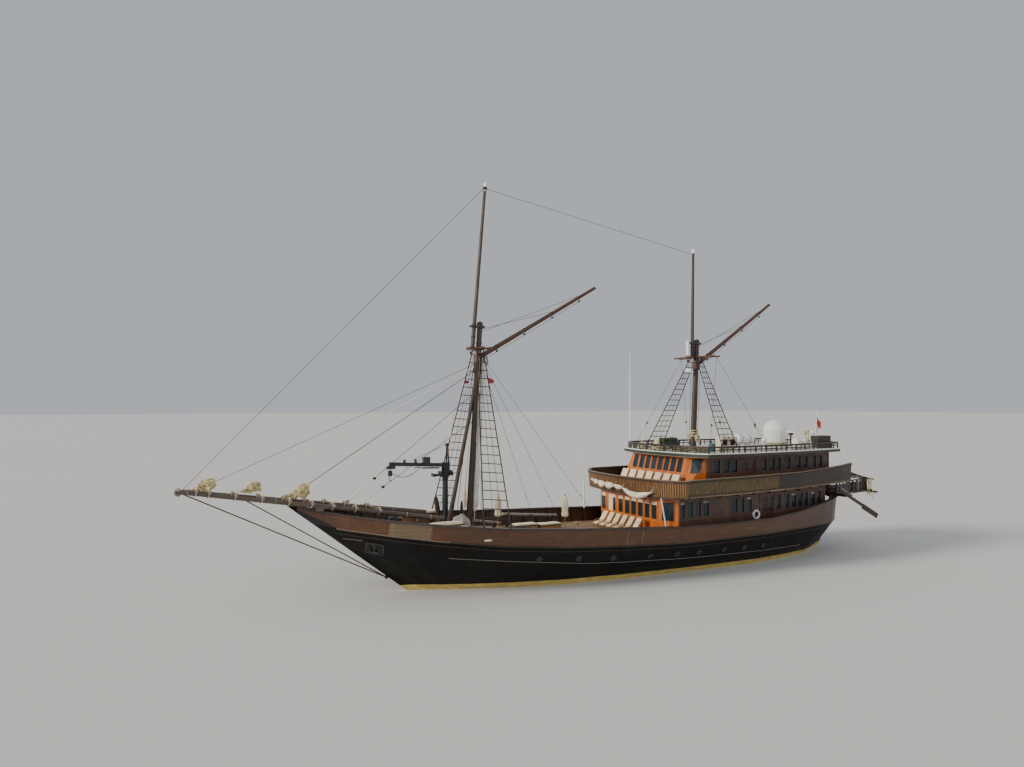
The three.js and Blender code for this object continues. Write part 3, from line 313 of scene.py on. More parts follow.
def parapet_wood(lit, aged, front):
    """Parapet boards: olive painted light behind the staves, grey-brown aft, red-brown in front, painted
    shade inside.
    """
    made = Finish("parapet_planks", 0.5, coat=0.1)
    grain = made.plank_grain()
    each, seams = made.boards("Z", "X", 0.26, 5, 0.05)
    x = made.axis(made.metres, "X")
    # Painted light: the boards behind the staves take a lit olive, for light through the gaps between the
    # staves.
    tint = made.blend(made.spread(x, -7.3, -7.6), (*lit, 1), (*aged, 1))
    tint = made.blend(made.spread(x, 0.47, 0.53), tint, (*front, 1))
    # Painted shade on the faces that look inboard.
    tint = made.blend(made.inboard_shade(0.9), tint, (0.036, 0.020, 0.013, 1))
    tint = made.blend(made.spread(grain, 0.7, 0.3, 0.0, 0.8), tint, (0.5, 0.47, 0.44, 1), "MULTIPLY")
    tint = made.blend(made.spread(each, 0, 1, 0.0, 0.5), tint, (0.6, 0.58, 0.55, 1), "MULTIPLY")
    tint = made.blend(made.times(seams, 0.8), tint, (0.02, 0.013, 0.010, 1))
    made.plank_bump(grain, seams)
    return made.show(tint, made.spread(grain, 0, 1, 0.42, 0.66))


def cloth(name, base, dirt=0.3, fold=2.6):
    """Canvas: a fine weave, soft folds darkened by dirt, which is soiling and painted shade of the folds
    together.
    """
    made = Finish(name, 0.9, sheen=0.25)
    weave = made.times(made.maths("SINE", made.times(made.axis(made.metres, "Z"), 420.0)),
                       made.maths("SINE", made.times(made.axis(made.metres, "X"), 420.0)))
    folds = made.noise(made.place((fold, fold, fold * 0.7)), 1.0, 6, 0.6, 0.6)
    # The folds darken the cloth by dirt: soiling together with painted shade of the folds.
    tint = made.blend(made.spread(folds, 0.35, 0.75), tuple(base[:3]) + (1,), shade(base, 1 - dirt))
    made.bump(made.plus(made.times(weave, 0.04), folds), 0.55, 0.05)
    return made.show(tint, made.spread(folds, 0, 1, 0.8, 0.98))


def rope_finish(name, base):
    """Laid rope: a fine twist and uneven soiling."""
    made = Finish(name, 0.92)
    twist = made.maths("SINE", made.times(made.plus(made.axis(made.metres, "Z"),
                       made.times(made.axis(made.metres, "X"), 0.7)), 160.0))
    soil = made.noise(made.metres, 3.0, 4)
    tint = made.blend(soil, shade(base, 1.25), shade(base, 0.6))
    made.bump(twist, 0.5, 0.006)
    return made.show(tint, made.spread(soil, 0, 1, 0.8, 1.0))


def window_glass(base):
    """Dark glass with the faint unevenness of large panes."""
    made = Finish("window_glass", 0.12, coat=0.15)
    made.shader.inputs["Specular IOR Level"].default_value = 0.3
    drift = made.noise(made.place((0.8, 0.8, 0.5)), 1.0, 3, 0.5)
    tint = made.blend(made.spread(drift, 0.35, 0.7), tuple(base), shade(base, 2.0))
    made.bump(drift, 0.25, 0.01)
    return made.show(tint, made.spread(drift, 0, 1, 0.08, 0.22))


@lru_cache(maxsize=None)
def finishes():
    """Every finish of the ship by name, made once."""
    c, s = colours(), sizes()
    return {
        "hull": hull_paint(c.hull, c.boot_top, c.bottom, s.boot_top, s.plank),
        "bulwark": bulwark_wood(c.bulwark, s.plank),
        # Painted light and shade: the fronts and their trims carry the varnished wood's sunlit orange
        # copy; the house sides, aft walls and doors carry its shaded brown copy, which cabin_trim
        # lightens.
        "front": wood("sunlit_front_varnish", c.front, "Y", "Z", 0.30, 9, 0.30, 0.5, wear=0.06, contrast=0.5),
        "front_trim": wood("front_trim", (0.66, 0.20, 0.032), along="Z", rough=0.3, coat=0.4,
                           wear=0.05, contrast=0.6),
        "cabin": wood("shaded_cabin_planks", c.cabin, "X", "Z", 0.32, 9, 0.42, 0.2, wear=0.25),
        "cabin_trim": wood("cabin_trim", shade(c.cabin, 1.25), along="Z", rough=0.4, wear=0.2),
        "door": wood("shaded_door_timber", (0.085, 0.030, 0.017), along="Z", rough=0.4, coat=0.2, wear=0.15),
        "shaded_cross_planks": wood("shaded_cross_planks", c.cabin, "Y", "Z", 0.32, 9, 0.42, 0.2, wear=0.25),
        # Its first colour is painted light through the gaps between the staves.
        "parapet": parapet_wood((0.11, 0.080, 0.030), (0.036, 0.024, 0.017), (0.11, 0.055, 0.022)),
        "stave": wood("parapet_staves", (0.165, 0.112, 0.045), "X", "Z", rough=0.55, wear=0.3,
                      contrast=1.4),
        "front_board": wood("front_boards", (0.23, 0.115, 0.040), "Y", "Z", rough=0.5, wear=0.15,
                            contrast=1.3),
        "frame": wood("window_frames", (0.130, 0.085, 0.070), along="Z", rough=0.5, wear=0.4),
        "trim": wood("dark_trim", c.trim, along="X", rough=0.42, coat=0.15, wear=0.3),
        "pale_line": paint("pale_line", (0.22, 0.20, 0.17), 0.7, dirt=0.6),
        "worn_trim": wood("worn_trim", (0.20, 0.13, 0.085), along="X", rough=0.6, wear=0.6),
        "deck": wood("deck_planks", c.deck, "Y", "X", s.deck_plank, 6, 0.78, wear=0.5),
        "spar": wood("mast_timber", c.spar, along="Z", rough=0.5, wear=0.35, contrast=1.2),
        "gaff": wood("gaff_timber", (0.085, 0.028, 0.012), along="X", rough=0.45,
                     turn=(0, math.radians(33), 0), wear=0.2, contrast=1.2),
        "sprit": wood("bowsprit_timber", (0.105, 0.070, 0.050), along="X", rough=0.65, wear=0.6,
                      contrast=1.2),
        "grey_timber": wood("grey_timber", (0.30, 0.27, 0.23), along="Y", rough=0.8, wear=0.6),
        "bench": wood("bench_timber", (0.33, 0.15, 0.055), along="X", rough=0.5, wear=0.25),
        "roof": paint("roof_paint", (0.55, 0.54, 0.49), 0.65, dirt=0.55, grain=1.2),
        "canvas": cloth("cream_canvas", c.canvas),
        "grey_canvas": cloth("grey_canvas", (0.42, 0.40, 0.36), 0.5),
        # The jib bundles' dark folds, at dirt 0.8, are mostly painted shade.
        "ochre": cloth("ochre_canvas", c.ochre, 0.8, 6.0),
        "awning": cloth("awning_canvas", (0.83, 0.76, 0.62), 0.2, 3.0),
        "rope": rope_finish("tarred_rope", (0.045, 0.032, 0.024)),
        "pale_rope": rope_finish("manila_rope", (0.62, 0.52, 0.33)),
        "grey_rope": rope_finish("grey_rope", (0.42, 0.41, 0.37)),
        "cushion": cloth("cream_cushions", (0.84, 0.68, 0.44), 0.2),
        "yellow_rope": rope_finish("yellow_rope", (0.70, 0.56, 0.20)),
        "red_cloth": cloth("red_cloth", (0.42, 0.030, 0.022), 0.3),
        "white_cloth": cloth("white_cloth", (0.80, 0.78, 0.74), 0.15),
        "white": paint("white_gelcoat", (0.86, 0.86, 0.84), 0.25, dirt=0.10, coat=0.4, bump=0.03),
        "steel": paint("dark_steel", (0.045, 0.055, 0.058), 0.45, 0.4, dirt=0.5),
        "bronze": paint("bronze", (0.42, 0.26, 0.09), 0.35, 1.0, dirt=0.5),
        "black": paint("black_fittings", (0.012, 0.012, 0.012), 0.5),
        "green": paint("dark_green_paint", (0.025, 0.042, 0.030), 0.55),
        "leaf": paint("planter_leaves", (0.030, 0.045, 0.015), 0.7, dirt=0.7, grain=14),
        "floor_grey": paint("pole_white", (0.74, 0.72, 0.66), 0.4, dirt=0.25),
        "cream": paint("cream_cases", (0.74, 0.66, 0.50), 0.4, dirt=0.3),
        "screen": cloth("green_screens", (0.36, 0.36, 0.20), 0.35, 4.0),
        "teal": paint("teal_paint", (0.012, 0.11, 0.15), 0.5),
        "glass": window_glass(c.glass),
    }


# Making pieces

# The slot of a piece by its first finish, unless the piece names another; nothing uses the slot
SLOTS = {
    "trim": "rail_dark", "worn_trim": "rail_dark", "pale_line": "rail_dark",
    "spar": "spar_dark", "grey_timber": "spar_dark", "steel": "steel_dark", "teal": "steel_dark",
    "frame": "cabin_brown", "cabin_trim": "cabin_brown", "bench": "front_teak",
    "front": "front_teak", "front_trim": "front_teak", "stave": "bulwark_brown",
    "front_board": "bulwark_brown", "white": "white_gel", "floor_grey": "white_gel",
    "canvas": "canvas", "grey_canvas": "canvas", "ochre": "canvas", "awning": "canvas",
    "cushion": "canvas", "screen": "canvas", "red_cloth": "canvas", "white_cloth": "canvas",
    "rope": "rope_dark", "pale_rope": "rope_dark", "grey_rope": "rope_dark",
    "yellow_rope": "rope_dark",
}


def lerp(a, b, t):
    return a + (b - a) * t


def circle(count, closed=False):
    """Angles at equal steps round a circle, with the last one again on the first where closed."""
    return [2 * math.pi * k / count for k in range(count + closed)]


def between(a, b, steps):
    """Points at equal steps from a to b."""
    return [a.lerp(b, k / steps) for k in range(steps + 1)]


def reading(table, x, column=1):
    """Straight-line reading of a table whose first column rises."""
    if x <= table[0][0]:
        return table[0][column]
    for a, b in zip(table, table[1:]):
        if x <= b[0]:
            return lerp(a[column], b[column], (x - a[0]) / (b[0] - a[0]))
    return table[-1][column]


@lru_cache(maxsize=None)
def skin(node):
    """The surface of a CAD node, for finding where a piece sits on it."""
    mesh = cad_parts[node].data
    return BVHTree.FromPolygons([v.co / SCALE for v in mesh.vertices],
                                [tuple(p.vertices) for p in mesh.polygons])


def touch(node, start, way):
    """Where a line from start meets a node, and the surface's direction there."""
    point, normal, _, _ = skin(node).ray_cast(Vector(start), Vector(way).normalized())
    if point is None:
        raise RuntimeError(f"nothing of {node} lies on the line from {tuple(start)}")
    return point, normal if normal.dot(Vector(way)) < 0 else -normal


def turned(along, up):
    """The directions of a board's length, thickness and height."""
    along = Vector(along).normalized()
    thick = Vector(up).cross(along).normalized()
    return along, thick, along.cross(thick)


def outside(node, x, z, side):
    return touch(node, (x, 30 * side, z), (0, -side, 0))


class Piece:
    """A new piece: a bmesh in full-size metres, made an object that rides on a body."""

    def __init__(self):
        self.mesh = bmesh.new()

    def mark(self, verts, finish):
        """Gives the faces of these vertices one of the piece's finishes, by its number."""
        if finish:
            for face in {f for v in verts for f in v.link_faces}:
                face.material_index = finish
        return verts

    def joined(self, verts):
        """These vertices and all that hang together with them."""
        reach, todo = set(verts), list(verts)
        while todo:
            for edge in todo.pop().link_edges:
                new = [v for v in edge.verts if v not in reach]
                reach.update(new)
                todo += new
        return reach

    def block(self, low, high, paint=0):
        low, high = Vector(low), Vector(high)
        size = Matrix.Diagonal((*[abs(v) for v in high - low], 1))
        made = bmesh.ops.create_cube(self.mesh, size=1,
                                     matrix=Matrix.Translation((low + high) / 2) @ size)
        return self.mark(made["verts"], paint)

    def board(self, centre, along, up, size, paint=0):
        """A block with its length along one direction and its height towards another."""
        turn = Matrix(turned(along, up)).transposed().to_4x4()
        made = bmesh.ops.create_cube(self.mesh, size=1, matrix=Matrix.Translation(centre) @ turn
                                     @ Matrix.Diagonal((size[0], size[1], size[2], 1)))
        return self.mark(made["verts"], paint)

    def beam(self, a, b, width, height, up=Z, paint=0):
        a, b = Vector(a), Vector(b)
        return self.board((a + b) / 2, b - a, up, ((b - a).length, width, height), paint)

    def rod(self, a, b, radius, tip=None, sides=10, paint=0):
        a, b = Vector(a), Vector(b)
        turn = (b - a).to_track_quat("Z", "Y").to_matrix().to_4x4()
        made = bmesh.ops.create_cone(
            self.mesh, cap_ends=True, segments=sides, radius1=radius,
            radius2=radius if tip is None else tip, depth=(b - a).length,
            matrix=Matrix.Translation((a + b) / 2) @ turn)
        return self.mark(made["verts"], paint)

    def post(self, x, y, low, high, radius, *rest, **more):
        """An upright rod."""
        return self.rod(Vector((x, y, low)), Vector((x, y, high)), radius, *rest, **more)

    def pillar(self, x, y, half_x, half_y, low, high, paint=0):
        """An upright block round x and y."""
        return self.block((x - half_x, y - half_y, low), (x + half_x, y + half_y, high), paint)

    def hose(self, points, radius, sides=8, paint=0):
        """A round body along points. Radius is a number or one for each point."""
        points = [Vector(p) for p in points]
        radii = [radius] * len(points) if isinstance(radius, (int, float)) else radius
        rings, every = [], []
        aim = None
        for i, point in enumerate(points):
            way = (points[min(i + 1, len(points) - 1)] - points[max(i - 1, 0)]).normalized()
            aim = way.to_track_quat("Z", "Y") if aim is None else (
                (aim @ Z).rotation_difference(way) @ aim)
            made = bmesh.ops.create_circle(
                self.mesh, cap_ends=i in (0, len(points) - 1), segments=sides, radius=radii[i],
                matrix=Matrix.Translation(point) @ aim.to_matrix().to_4x4())
            every += made["verts"]
            rings.append(list({e for v in made["verts"] for e in v.link_edges
                               if all(w in made["verts"] for w in e.verts)}))
        for a, b in zip(rings, rings[1:]):
            bmesh.ops.bridge_loops(self.mesh, edges=a + b)
        return self.mark(every, paint)

    def lathe(self, profile, base, axis=Z, steps=20, paint=0):
        """A turned body. The profile is [radius, height along the axis] from end to end."""
        turn = Vector(axis).normalized().to_track_quat("Z", "Y")
        verts = [self.mesh.verts.new(Vector(base) + turn @ Vector((r, 0, h))) for r, h in profile]
        edges = [self.mesh.edges.new(pair) for pair in zip(verts, verts[1:])]
        bmesh.ops.spin(self.mesh, geom=verts + edges, cent=Vector(base), axis=turn @ Z,
                       angle=2 * math.pi, steps=steps, use_merge=True)
        self.mark(self.joined(verts), paint)

    def ring(self, centre, axis, radius, section, steps=20, sides=8, paint=0):
        """A round ring, such as a band, a rope turn or a life ring."""
        turn = Vector(axis).normalized().to_track_quat("Z", "Y")
        points = [Vector(centre) + turn @ Vector((radius * math.cos(a), radius * math.sin(a), 0))
                  for a in circle(steps)]
        made = bmesh.ops.create_circle(
            self.mesh, segments=sides, radius=section,
            matrix=Matrix.Translation(points[0]) @ (turn @ Vector((0, 1, 0))).to_track_quat(
                "Z", "Y").to_matrix().to_4x4())
        geom = made["verts"] + list({e for v in made["verts"] for e in v.link_edges})
        bmesh.ops.spin(self.mesh, geom=geom, cent=Vector(centre), axis=turn @ Z,
                       angle=2 * math.pi, steps=steps, use_merge=True)
        self.mark(self.joined(made["verts"]), paint)

    def plate(self, corners, thickness, paint=0):
        """A flat plate: an outline pushed along the thickness vector."""
        verts = [self.mesh.verts.new(Vector(c)) for c in corners]
        face = self.mesh.faces.new(verts)
        made = bmesh.ops.extrude_face_region(self.mesh, geom=[face])
        moved = [g for g in made["geom"] if isinstance(g, bmesh.types.BMVert)]
        bmesh.ops.translate(self.mesh, verts=moved, vec=Vector(thickness))
        return self.mark(verts + moved, paint)

    def ball(self, centre, radii, paint=0, detail=3):
        radii = (radii,) * 3 if isinstance(radii, (int, float)) else radii
        made = bmesh.ops.create_icosphere(
            self.mesh, subdivisions=detail, radius=1,
            matrix=Matrix.Translation(centre) @ Matrix.Diagonal((*radii, 1)))
        return self.mark(made["verts"], paint)

    def pillow(self, centre, along, up, size, paint=0, crown=0.45):
        """A stuffed pad: flat under, crowned on top, with its sides pulled in between corners."""
        along, thick, up = turned(along, up)
        before = len(self.mesh.verts)
        verts = bmesh.ops.create_cube(self.mesh, size=2)["verts"]
        edges = list({e for v in verts for e in v.link_edges})
        bmesh.ops.subdivide_edges(self.mesh, edges=edges, cuts=5, use_grid_fill=True)
        self.mesh.verts.ensure_lookup_table()
        verts = self.mesh.verts[before:]
        for v in verts:
            u, w, h = v.co
            edge = (1 - u ** 4) * (1 - w ** 4)
            height = h * (1 - crown + crown * edge ** 0.6) if h > 0 else h * (0.75 + 0.25 * edge)
            u, w = u * (1 - 0.035 * (1 - w * w)), w * (1 - 0.035 * (1 - u * u))
            v.co = (Vector(centre) + along * u * size[0] / 2 + thick * w * size[1] / 2
                    + up * height * size[2] / 2)
        return self.mark(verts, paint)

    def rumple(self, verts, amount, pitch, seed=0.0):
        """Moves vertices along their normals by a fixed noise, as folds of cloth do."""
        self.mesh.normal_update()
        for v in verts:
            v.co += v.normal * amount * noise.noise(v.co * pitch + Vector((seed, 0, 0)))

    def done(self, name, paints, body=SHIP, slot=None, replaces=(), edge=0.0, subdivide=0):
        """Makes the object, in model metres, and lets it ride on its body.

        A piece without a slot of its own looks up the one of its first finish; the slot is not used.
        """
        keys = [paints] if isinstance(paints, str) else paints
        bmesh.ops.remove_doubles(self.mesh, verts=self.mesh.verts, dist=1e-5)
        bmesh.ops.recalc_face_normals(self.mesh, faces=self.mesh.faces)
        bmesh.ops.scale(self.mesh, verts=self.mesh.verts, vec=(SCALE,) * 3)
        data = bpy.data.meshes.new(name)
        self.mesh.to_mesh(data)
        self.mesh.free()
        for key in keys:
            data.materials.append(finishes()[key])
        for polygon in data.polygons:
            polygon.use_smooth = True
        data.set_sharp_from_angle(angle=math.radians(SMOOTH_UNDER))
        made = bpy.data.objects.new(name, data)
        bpy.context.scene.collection.objects.link(made)
        if edge:
            rounding = made.modifiers.new("edges", "BEVEL")
            rounding.width, rounding.segments = edge * SCALE, 1
            rounding.limit_method, rounding.angle_limit = "ANGLE", math.radians(50)
        if subdivide:
            finer = made.modifiers.new("finer", "SUBSURF")
            finer.levels = finer.render_levels = subdivide
        if body:
            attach(made, body)
        if replaces:
            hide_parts(*replaces)
        slot = slot or SLOTS.get(keys[0])
        return made

    def stuffed(self, name, paints, fill, **more):
        """A padded piece of cloth: a cushion, a roll or a bundle."""
        made = self.done(name, paints, **more)
        return made

    def cloth(self, name, finish, cells, place, thickness=0.002):
        """A cloth on a grid, where place gives the point for u and w from 0 to 1, and its area."""
        grid = bmesh.ops.create_grid(self.mesh, x_segments=cells[0], y_segments=cells[1], size=0.5)
        for v in grid["verts"]:
            v.co = place(v.co.x + 0.5, v.co.y + 0.5)
        made = self.done(name, finish)
        area = sum(p.area for p in made.data.polygons)
        made.modifiers.new("cloth", "SOLIDIFY").thickness = thickness
        return made, area


def recoat(key, *nodes):
    """Gives CAD nodes a finish."""
    for node in nodes:
        mesh_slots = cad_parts[node].material_slots
        for mesh_slot in mesh_slots:
            mesh_slot.material = finishes()[key]


def both(name):
    return [f"{name}_{side}" for side in SIDES]


# Lines of the ship that several pieces follow

# x, z of the deck edge, half-breadth there, z of the cap rail, half-breadth there
SHEER = [
    (-17.6, 2.50, 0.45, 3.95, 0.60), (-17.0, 2.48, 1.35, 3.95, 1.55),
    (-16.0, 2.46, 2.40, 3.98, 2.60), (-15.0, 2.44, 3.20, 4.02, 3.42),
    (-14.0, 2.42, 3.85, 4.03, 4.08), (-12.7, 2.39, 4.28, 3.90, 4.52),
    (-10.0, 2.35, 4.65, 3.50, 4.85), (-7.0, 2.28, 4.95, 3.22, 5.12),
    (-2.3, 2.25, 5.15, 3.17, 5.35), (0.7, 2.27, 5.27, 3.22, 5.49),
    (4.7, 2.38, 5.00, 3.40, 5.24), (8.7, 2.54, 4.52, 3.56, 4.79),
    (12.7, 2.86, 4.05, 3.79, 4.35), (16.0, 3.27, 3.35, 4.10, 3.68),
    (18.6, 3.64, 2.52, 4.40, 2.82), (20.8, 3.98, 1.52, 4.70, 1.75),
    (22.5, 4.28, 0.42, 4.96, 0.55), (23.4, 4.93, 0.24, 5.20, 0.27),
]
CAP_TOP = 0.09
PLANKING = 0.06
ROOF_TOP = 7.68


def deck_top(x):
    return reading(SHEER, x, 1) + PLANKING


def cap_top(x):
    return reading(SHEER, x, 3) + CAP_TOP


def cap_half(x):
    return reading(SHEER, x, 4)


@dataclass(frozen=True)
class Mast:
    """A mast from its foot on deck or roof, raked aft, with heights measured along it."""
    x: float
    foot: float
    rake: float
    hounds: float
    cap: float
    head: float
    top: float
    radius: float
    lead: tuple
    gaff: float

    def at(self, h, ahead=0.0, y=0.0):
        s, c = math.sin(math.radians(self.rake)), math.cos(math.radians(self.rake))
        return Vector((self.x - h * s + ahead * c, y, self.foot + h * c + ahead * s))

    def topmast(self, h, ahead=0.0):
        """A point of the topmast, which stands ahead of the mast by its lead."""
        lead = lerp(*self.lead, (h - self.hounds) / (self.top - self.hounds))
        return self.at(h, lead + ahead)

    def wide(self, h):
        return lerp(self.radius, self.radius * 0.8, h / self.head)

    def up(self):
        return (self.at(1) - self.at(0)).normalized()


FORE = Mast(x=12.98, foot=deck_top(12.98), rake=3.42, hounds=11.36, cap=12.7, head=12.95, top=21.75,
            radius=0.2, lead=(0.42, 0.17), gaff=10.84)
MIZZEN = Mast(x=-4.52, foot=ROOF_TOP, rake=3, hounds=6.52, cap=7.5, head=7.72, top=14.24,
              radius=0.22, lead=(0.37, 0.62), gaff=6.0)
STAY_BAND = 9.9
GAFF_RADII = (0.158, 0.103)
# The pin rails' distance from the middle line, and their height
PIN_RAIL, PIN_RAIL_UP = 0.85, 0.84
MAIN_PEAK = Vector((3.8, 0, 18.65))
MIZZEN_PEAK = Vector((-11.9, 0, 18.4))
SPRIT_HEEL, SPRIT_TIP = Vector((15.2, 1.5, 4.25)), Vector((29.2, 0.2, 6.34))
SIDE_STAY = {"port": 7.0, "starboard": 8.6}
CROSS_BEAMS = (28.6, 27.97, 26.66, 25.31, 23.92, 22.72, 21.59, 20.33, 19.0)


def sprit(x, side=1):
    """Centre of a bowsprit spar at x."""
    point = SPRIT_HEEL.lerp(SPRIT_TIP, (x - SPRIT_HEEL.x) / (SPRIT_TIP.x - SPRIT_HEEL.x))
    return Vector((x, point.y * side, point.z))


# x, half-breadth of the upper deck's edge and of the roof's edge
UPPER_EDGE = [(-16.6, 3.35), (-15.0, 3.85), (-12.4, 4.42), (-9.7, 4.98), (-7.4, 5.2), (-4.5, 5.45),
              (0.5, 5.54), (1.05, 4.9), (1.45, 4.1), (1.8, 2.5), (1.95, 0.8)]
ROOF_EDGE = [(-15.0, 3.8), (-10.0, 4.6), (-5.0, 4.9), (-1.9, 4.69), (-1.45, 3.9), (-1.1, 2.6),
             (-0.9, 1.0)]
PARAPET_LINE = UPPER_EDGE[:6] + [(0.42, 5.54)] + UPPER_EDGE[6:]
PARAPET_TOP = [(-16.6, 6.5), (-15.0, 6.41), (-12.4, 6.3), (-9.7, 6.22), (-4.5, 6.18), (0.42, 6.12),
               (0.5, 6.07), (1.95, 6.07)]
STAVES_END = -7.5
FLARE = 0.1
WALL = 0.1
WALL_TAPER = 0.06


def under_upper_deck(x):
    return 5.0 + 0.009 * (0.5 - x)


def on_upper_deck(x):
    return under_upper_deck(x) + 0.16


def parapet_foot(x):
    """The parapet reaches down past the deck only round the front."""
    return on_upper_deck(x) - 0.04 if x < 0.5 else under_upper_deck(x) - 0.06


def parapet_top(x):
    return reading(PARAPET_TOP, x)


def under_roof(x):
    return 7.42 - 0.008 * (x + 1.9)


def round_bow(line):
    return list(line) + [(x, -y) for x, y in reversed(line)]


def spans(outline, closed=False):
    """The straight runs of an outline: both ends, the direction and the direction outwards."""
    for (x0, y0), (x1, y1) in zip(outline, outline[1:] + outline[:closed]):
        way = Vector((x1 - x0, y1 - y0, 0)).normalized()
        yield (x0, y0), (x1, y1), way, Vector((-way.y, way.x, 0))


def walk(line, step):
    """Points at equal steps along a line of (x, y), each with the line's direction."""
    found, left = [], 0.0
    for (x0, y0), (x1, y1) in zip(line, line[1:]):
        a, b = Vector((x0, y0, 0)), Vector((x1, y1, 0))
        span = (b - a).length
        while left <= span:
            found.append((a.lerp(b, left / span), (b - a).normalized()))
            left += step
        left -= span
    return found


# Hull

PORTHOLES = [(10.17, 1.85), (7.67, 1.74), (5.37, 1.61), (2.76, 1.52), (0.74, 1.51), (-1.07, 1.44),
             (-3.18, 1.43), (-5.05, 1.37), (-6.77, 1.39)]
RUB_LINE = [(-11.2, 0.93), (-1.5, 1.07), (6.8, 1.34), (15.4, 2.17)]
BOW_LINE = [(20.02, 3.32), (20.94, 3.41)]
ANCHOR_POCKET = [(19.80, 3.22), (18.90, 3.05), (18.80, 2.42), (19.65, 2.60)]


class SCHOONER_OT_hull(bpy.types.Operator):
    """Paint the hull and add its portholes, rub lines, anchors and fairleads"""
    bl_idname = "schooner.hull"
    bl_label = "Hull and bulwarks"

    def execute(self, context):
        recoat("hull", "hull")
        recoat("bulwark", *both("bulwark"))
        recoat("trim", *both("cap_rail"))
        recoat("spar", "rudder")
        recoat("bronze", "propeller")
        self.portholes()
        self.rub_lines()
        self.anchors()
        self.bulwark_details()
        return {"FINISHED"}

    def portholes(self):
        radius = sizes().porthole
        rims, panes = Piece(), Piece()
        for x, z in PORTHOLES:
            for side in SIDES.values():
                point, out = outside("hull", x, z, side)
                rims.ring(point + out * 0.01, out, radius, 0.032, 24)
                rims.lathe([(radius * 0.98, -0.04), (radius * 0.98, 0.02), (radius * 0.80, 0.02),
                            (radius * 0.80, -0.04)], point, out, 24)
                panes.lathe([(0, -0.03), (radius * 0.84, -0.03), (radius * 0.84, 0.006), (0, 0.012)],
                            point, out, 24)
        rims.done("porthole_rims", "steel")
        panes.done("porthole_glass", "glass")

    def rub_lines(self):
        strips, wales = Piece(), Piece()

        def run(piece, table, lift, aft, fore, steps, radius, paint=0):
            for side in SIDES.values():
                stations = [lerp(aft, fore, k / steps) for k in range(steps + 1)]
                found = [outside("hull", x, reading(table, x) + lift, side) for x in stations]
                piece.hose([point + out * 0.008 for point, out in found], radius, 6, paint)

        run(strips, RUB_LINE, 0, RUB_LINE[0][0], RUB_LINE[-1][0], 48, 0.018)
        run(strips, BOW_LINE, 0, BOW_LINE[0][0], BOW_LINE[-1][0], 4, 0.018)
        run(strips, SHEER, -0.03, 15.6, 21.4, 16, 0.04, 1)
        run(wales, SHEER, -0.03, -17.0, 15.6, 56, 0.045)
        run(wales, SHEER, -0.30, -17.0, 21.5, 66, 0.022)
        strips.done("rub_lines", ["pale_line", "worn_trim"])
        wales.done("deck_edge_wales", "trim")

    def anchors(self):
        frames, anchors = Piece(), Piece()
        for side in SIDES.values():
            hits = [outside("hull", x, z, side) for x, z in ANCHOR_POCKET]
            points = [p + n * 0.03 for p, n in hits]
            out = sum((n for _, n in hits), Vector()).normalized()
            frames.plate([p - out * 0.02 for p in points], out * 0.015, 1)
            for a, b in zip(points, points[1:] + points[:1]):
                frames.beam(a, b, 0.07, 0.07, out)
            middle = sum(points, Vector()) / 4 + out * 0.07
            down = (points[2] - points[1]).normalized()
            across = (points[0] - points[1]).normalized()
            head, crown = middle - down * 0.30, middle + down * 0.26
            anchors.rod(head, crown, 0.045, 0.06, 8)
            anchors.rod(crown - across * 0.28, crown + across * 0.28, 0.07, sides=8)
            for s in (-1, 1):
                root = crown + across * 0.2 * s
                anchors.beam(root, root - down * 0.42 + across * 0.10 * s + out * 0.05, 0.05, 0.13, out)
            anchors.ring(head - down * 0.05, out, 0.07, 0.02, 14)
        frames.done("anchor_pockets", ["trim", "black"], slot="hull_black")
        anchors.done("anchors", "steel", edge=0.01)

    def bulwark_details(self):
        posts, plates = Piece(), Piece()
        for side_name, side in SIDES.items():
            node = f"bulwark_{side_name}"
            for x in (3.72, 4.78):
                low, out = outside(node, x, deck_top(x) + 0.02, side)
                high, _ = outside(node, x, cap_top(x) - 0.16, side)
                posts.beam(low + out * 0.012, high + out * 0.012, 0.03, 0.07, X)
            point, out = outside(node, 13.5, lerp(deck_top(13.5), cap_top(13.5), 0.22), side)
            plates.hose([point + out * 0.012 + X * dx for dx in (-0.26, -0.16, 0.16, 0.26)],
                        [0.02, 0.06, 0.06, 0.02], 10)
            for k in range(34):
                x = lerp(-13.0, 21.0, k / 33)
                half = cap_half(x) - 0.19
                z0, z1 = deck_top(x) + 0.004, reading(SHEER, x, 3) - 0.01
                foot = reading(SHEER, x, 2) - 0.21
                posts.beam((x, foot * side, z0), (x, half * side, z1), 0.07, 0.10, X, 1)
        posts.done("bulwark_posts", ["worn_trim", "bulwark"], slot="bulwark_brown", edge=0.006)
        plates.done("bulwark_fairleads", "floor_grey")


# Decks

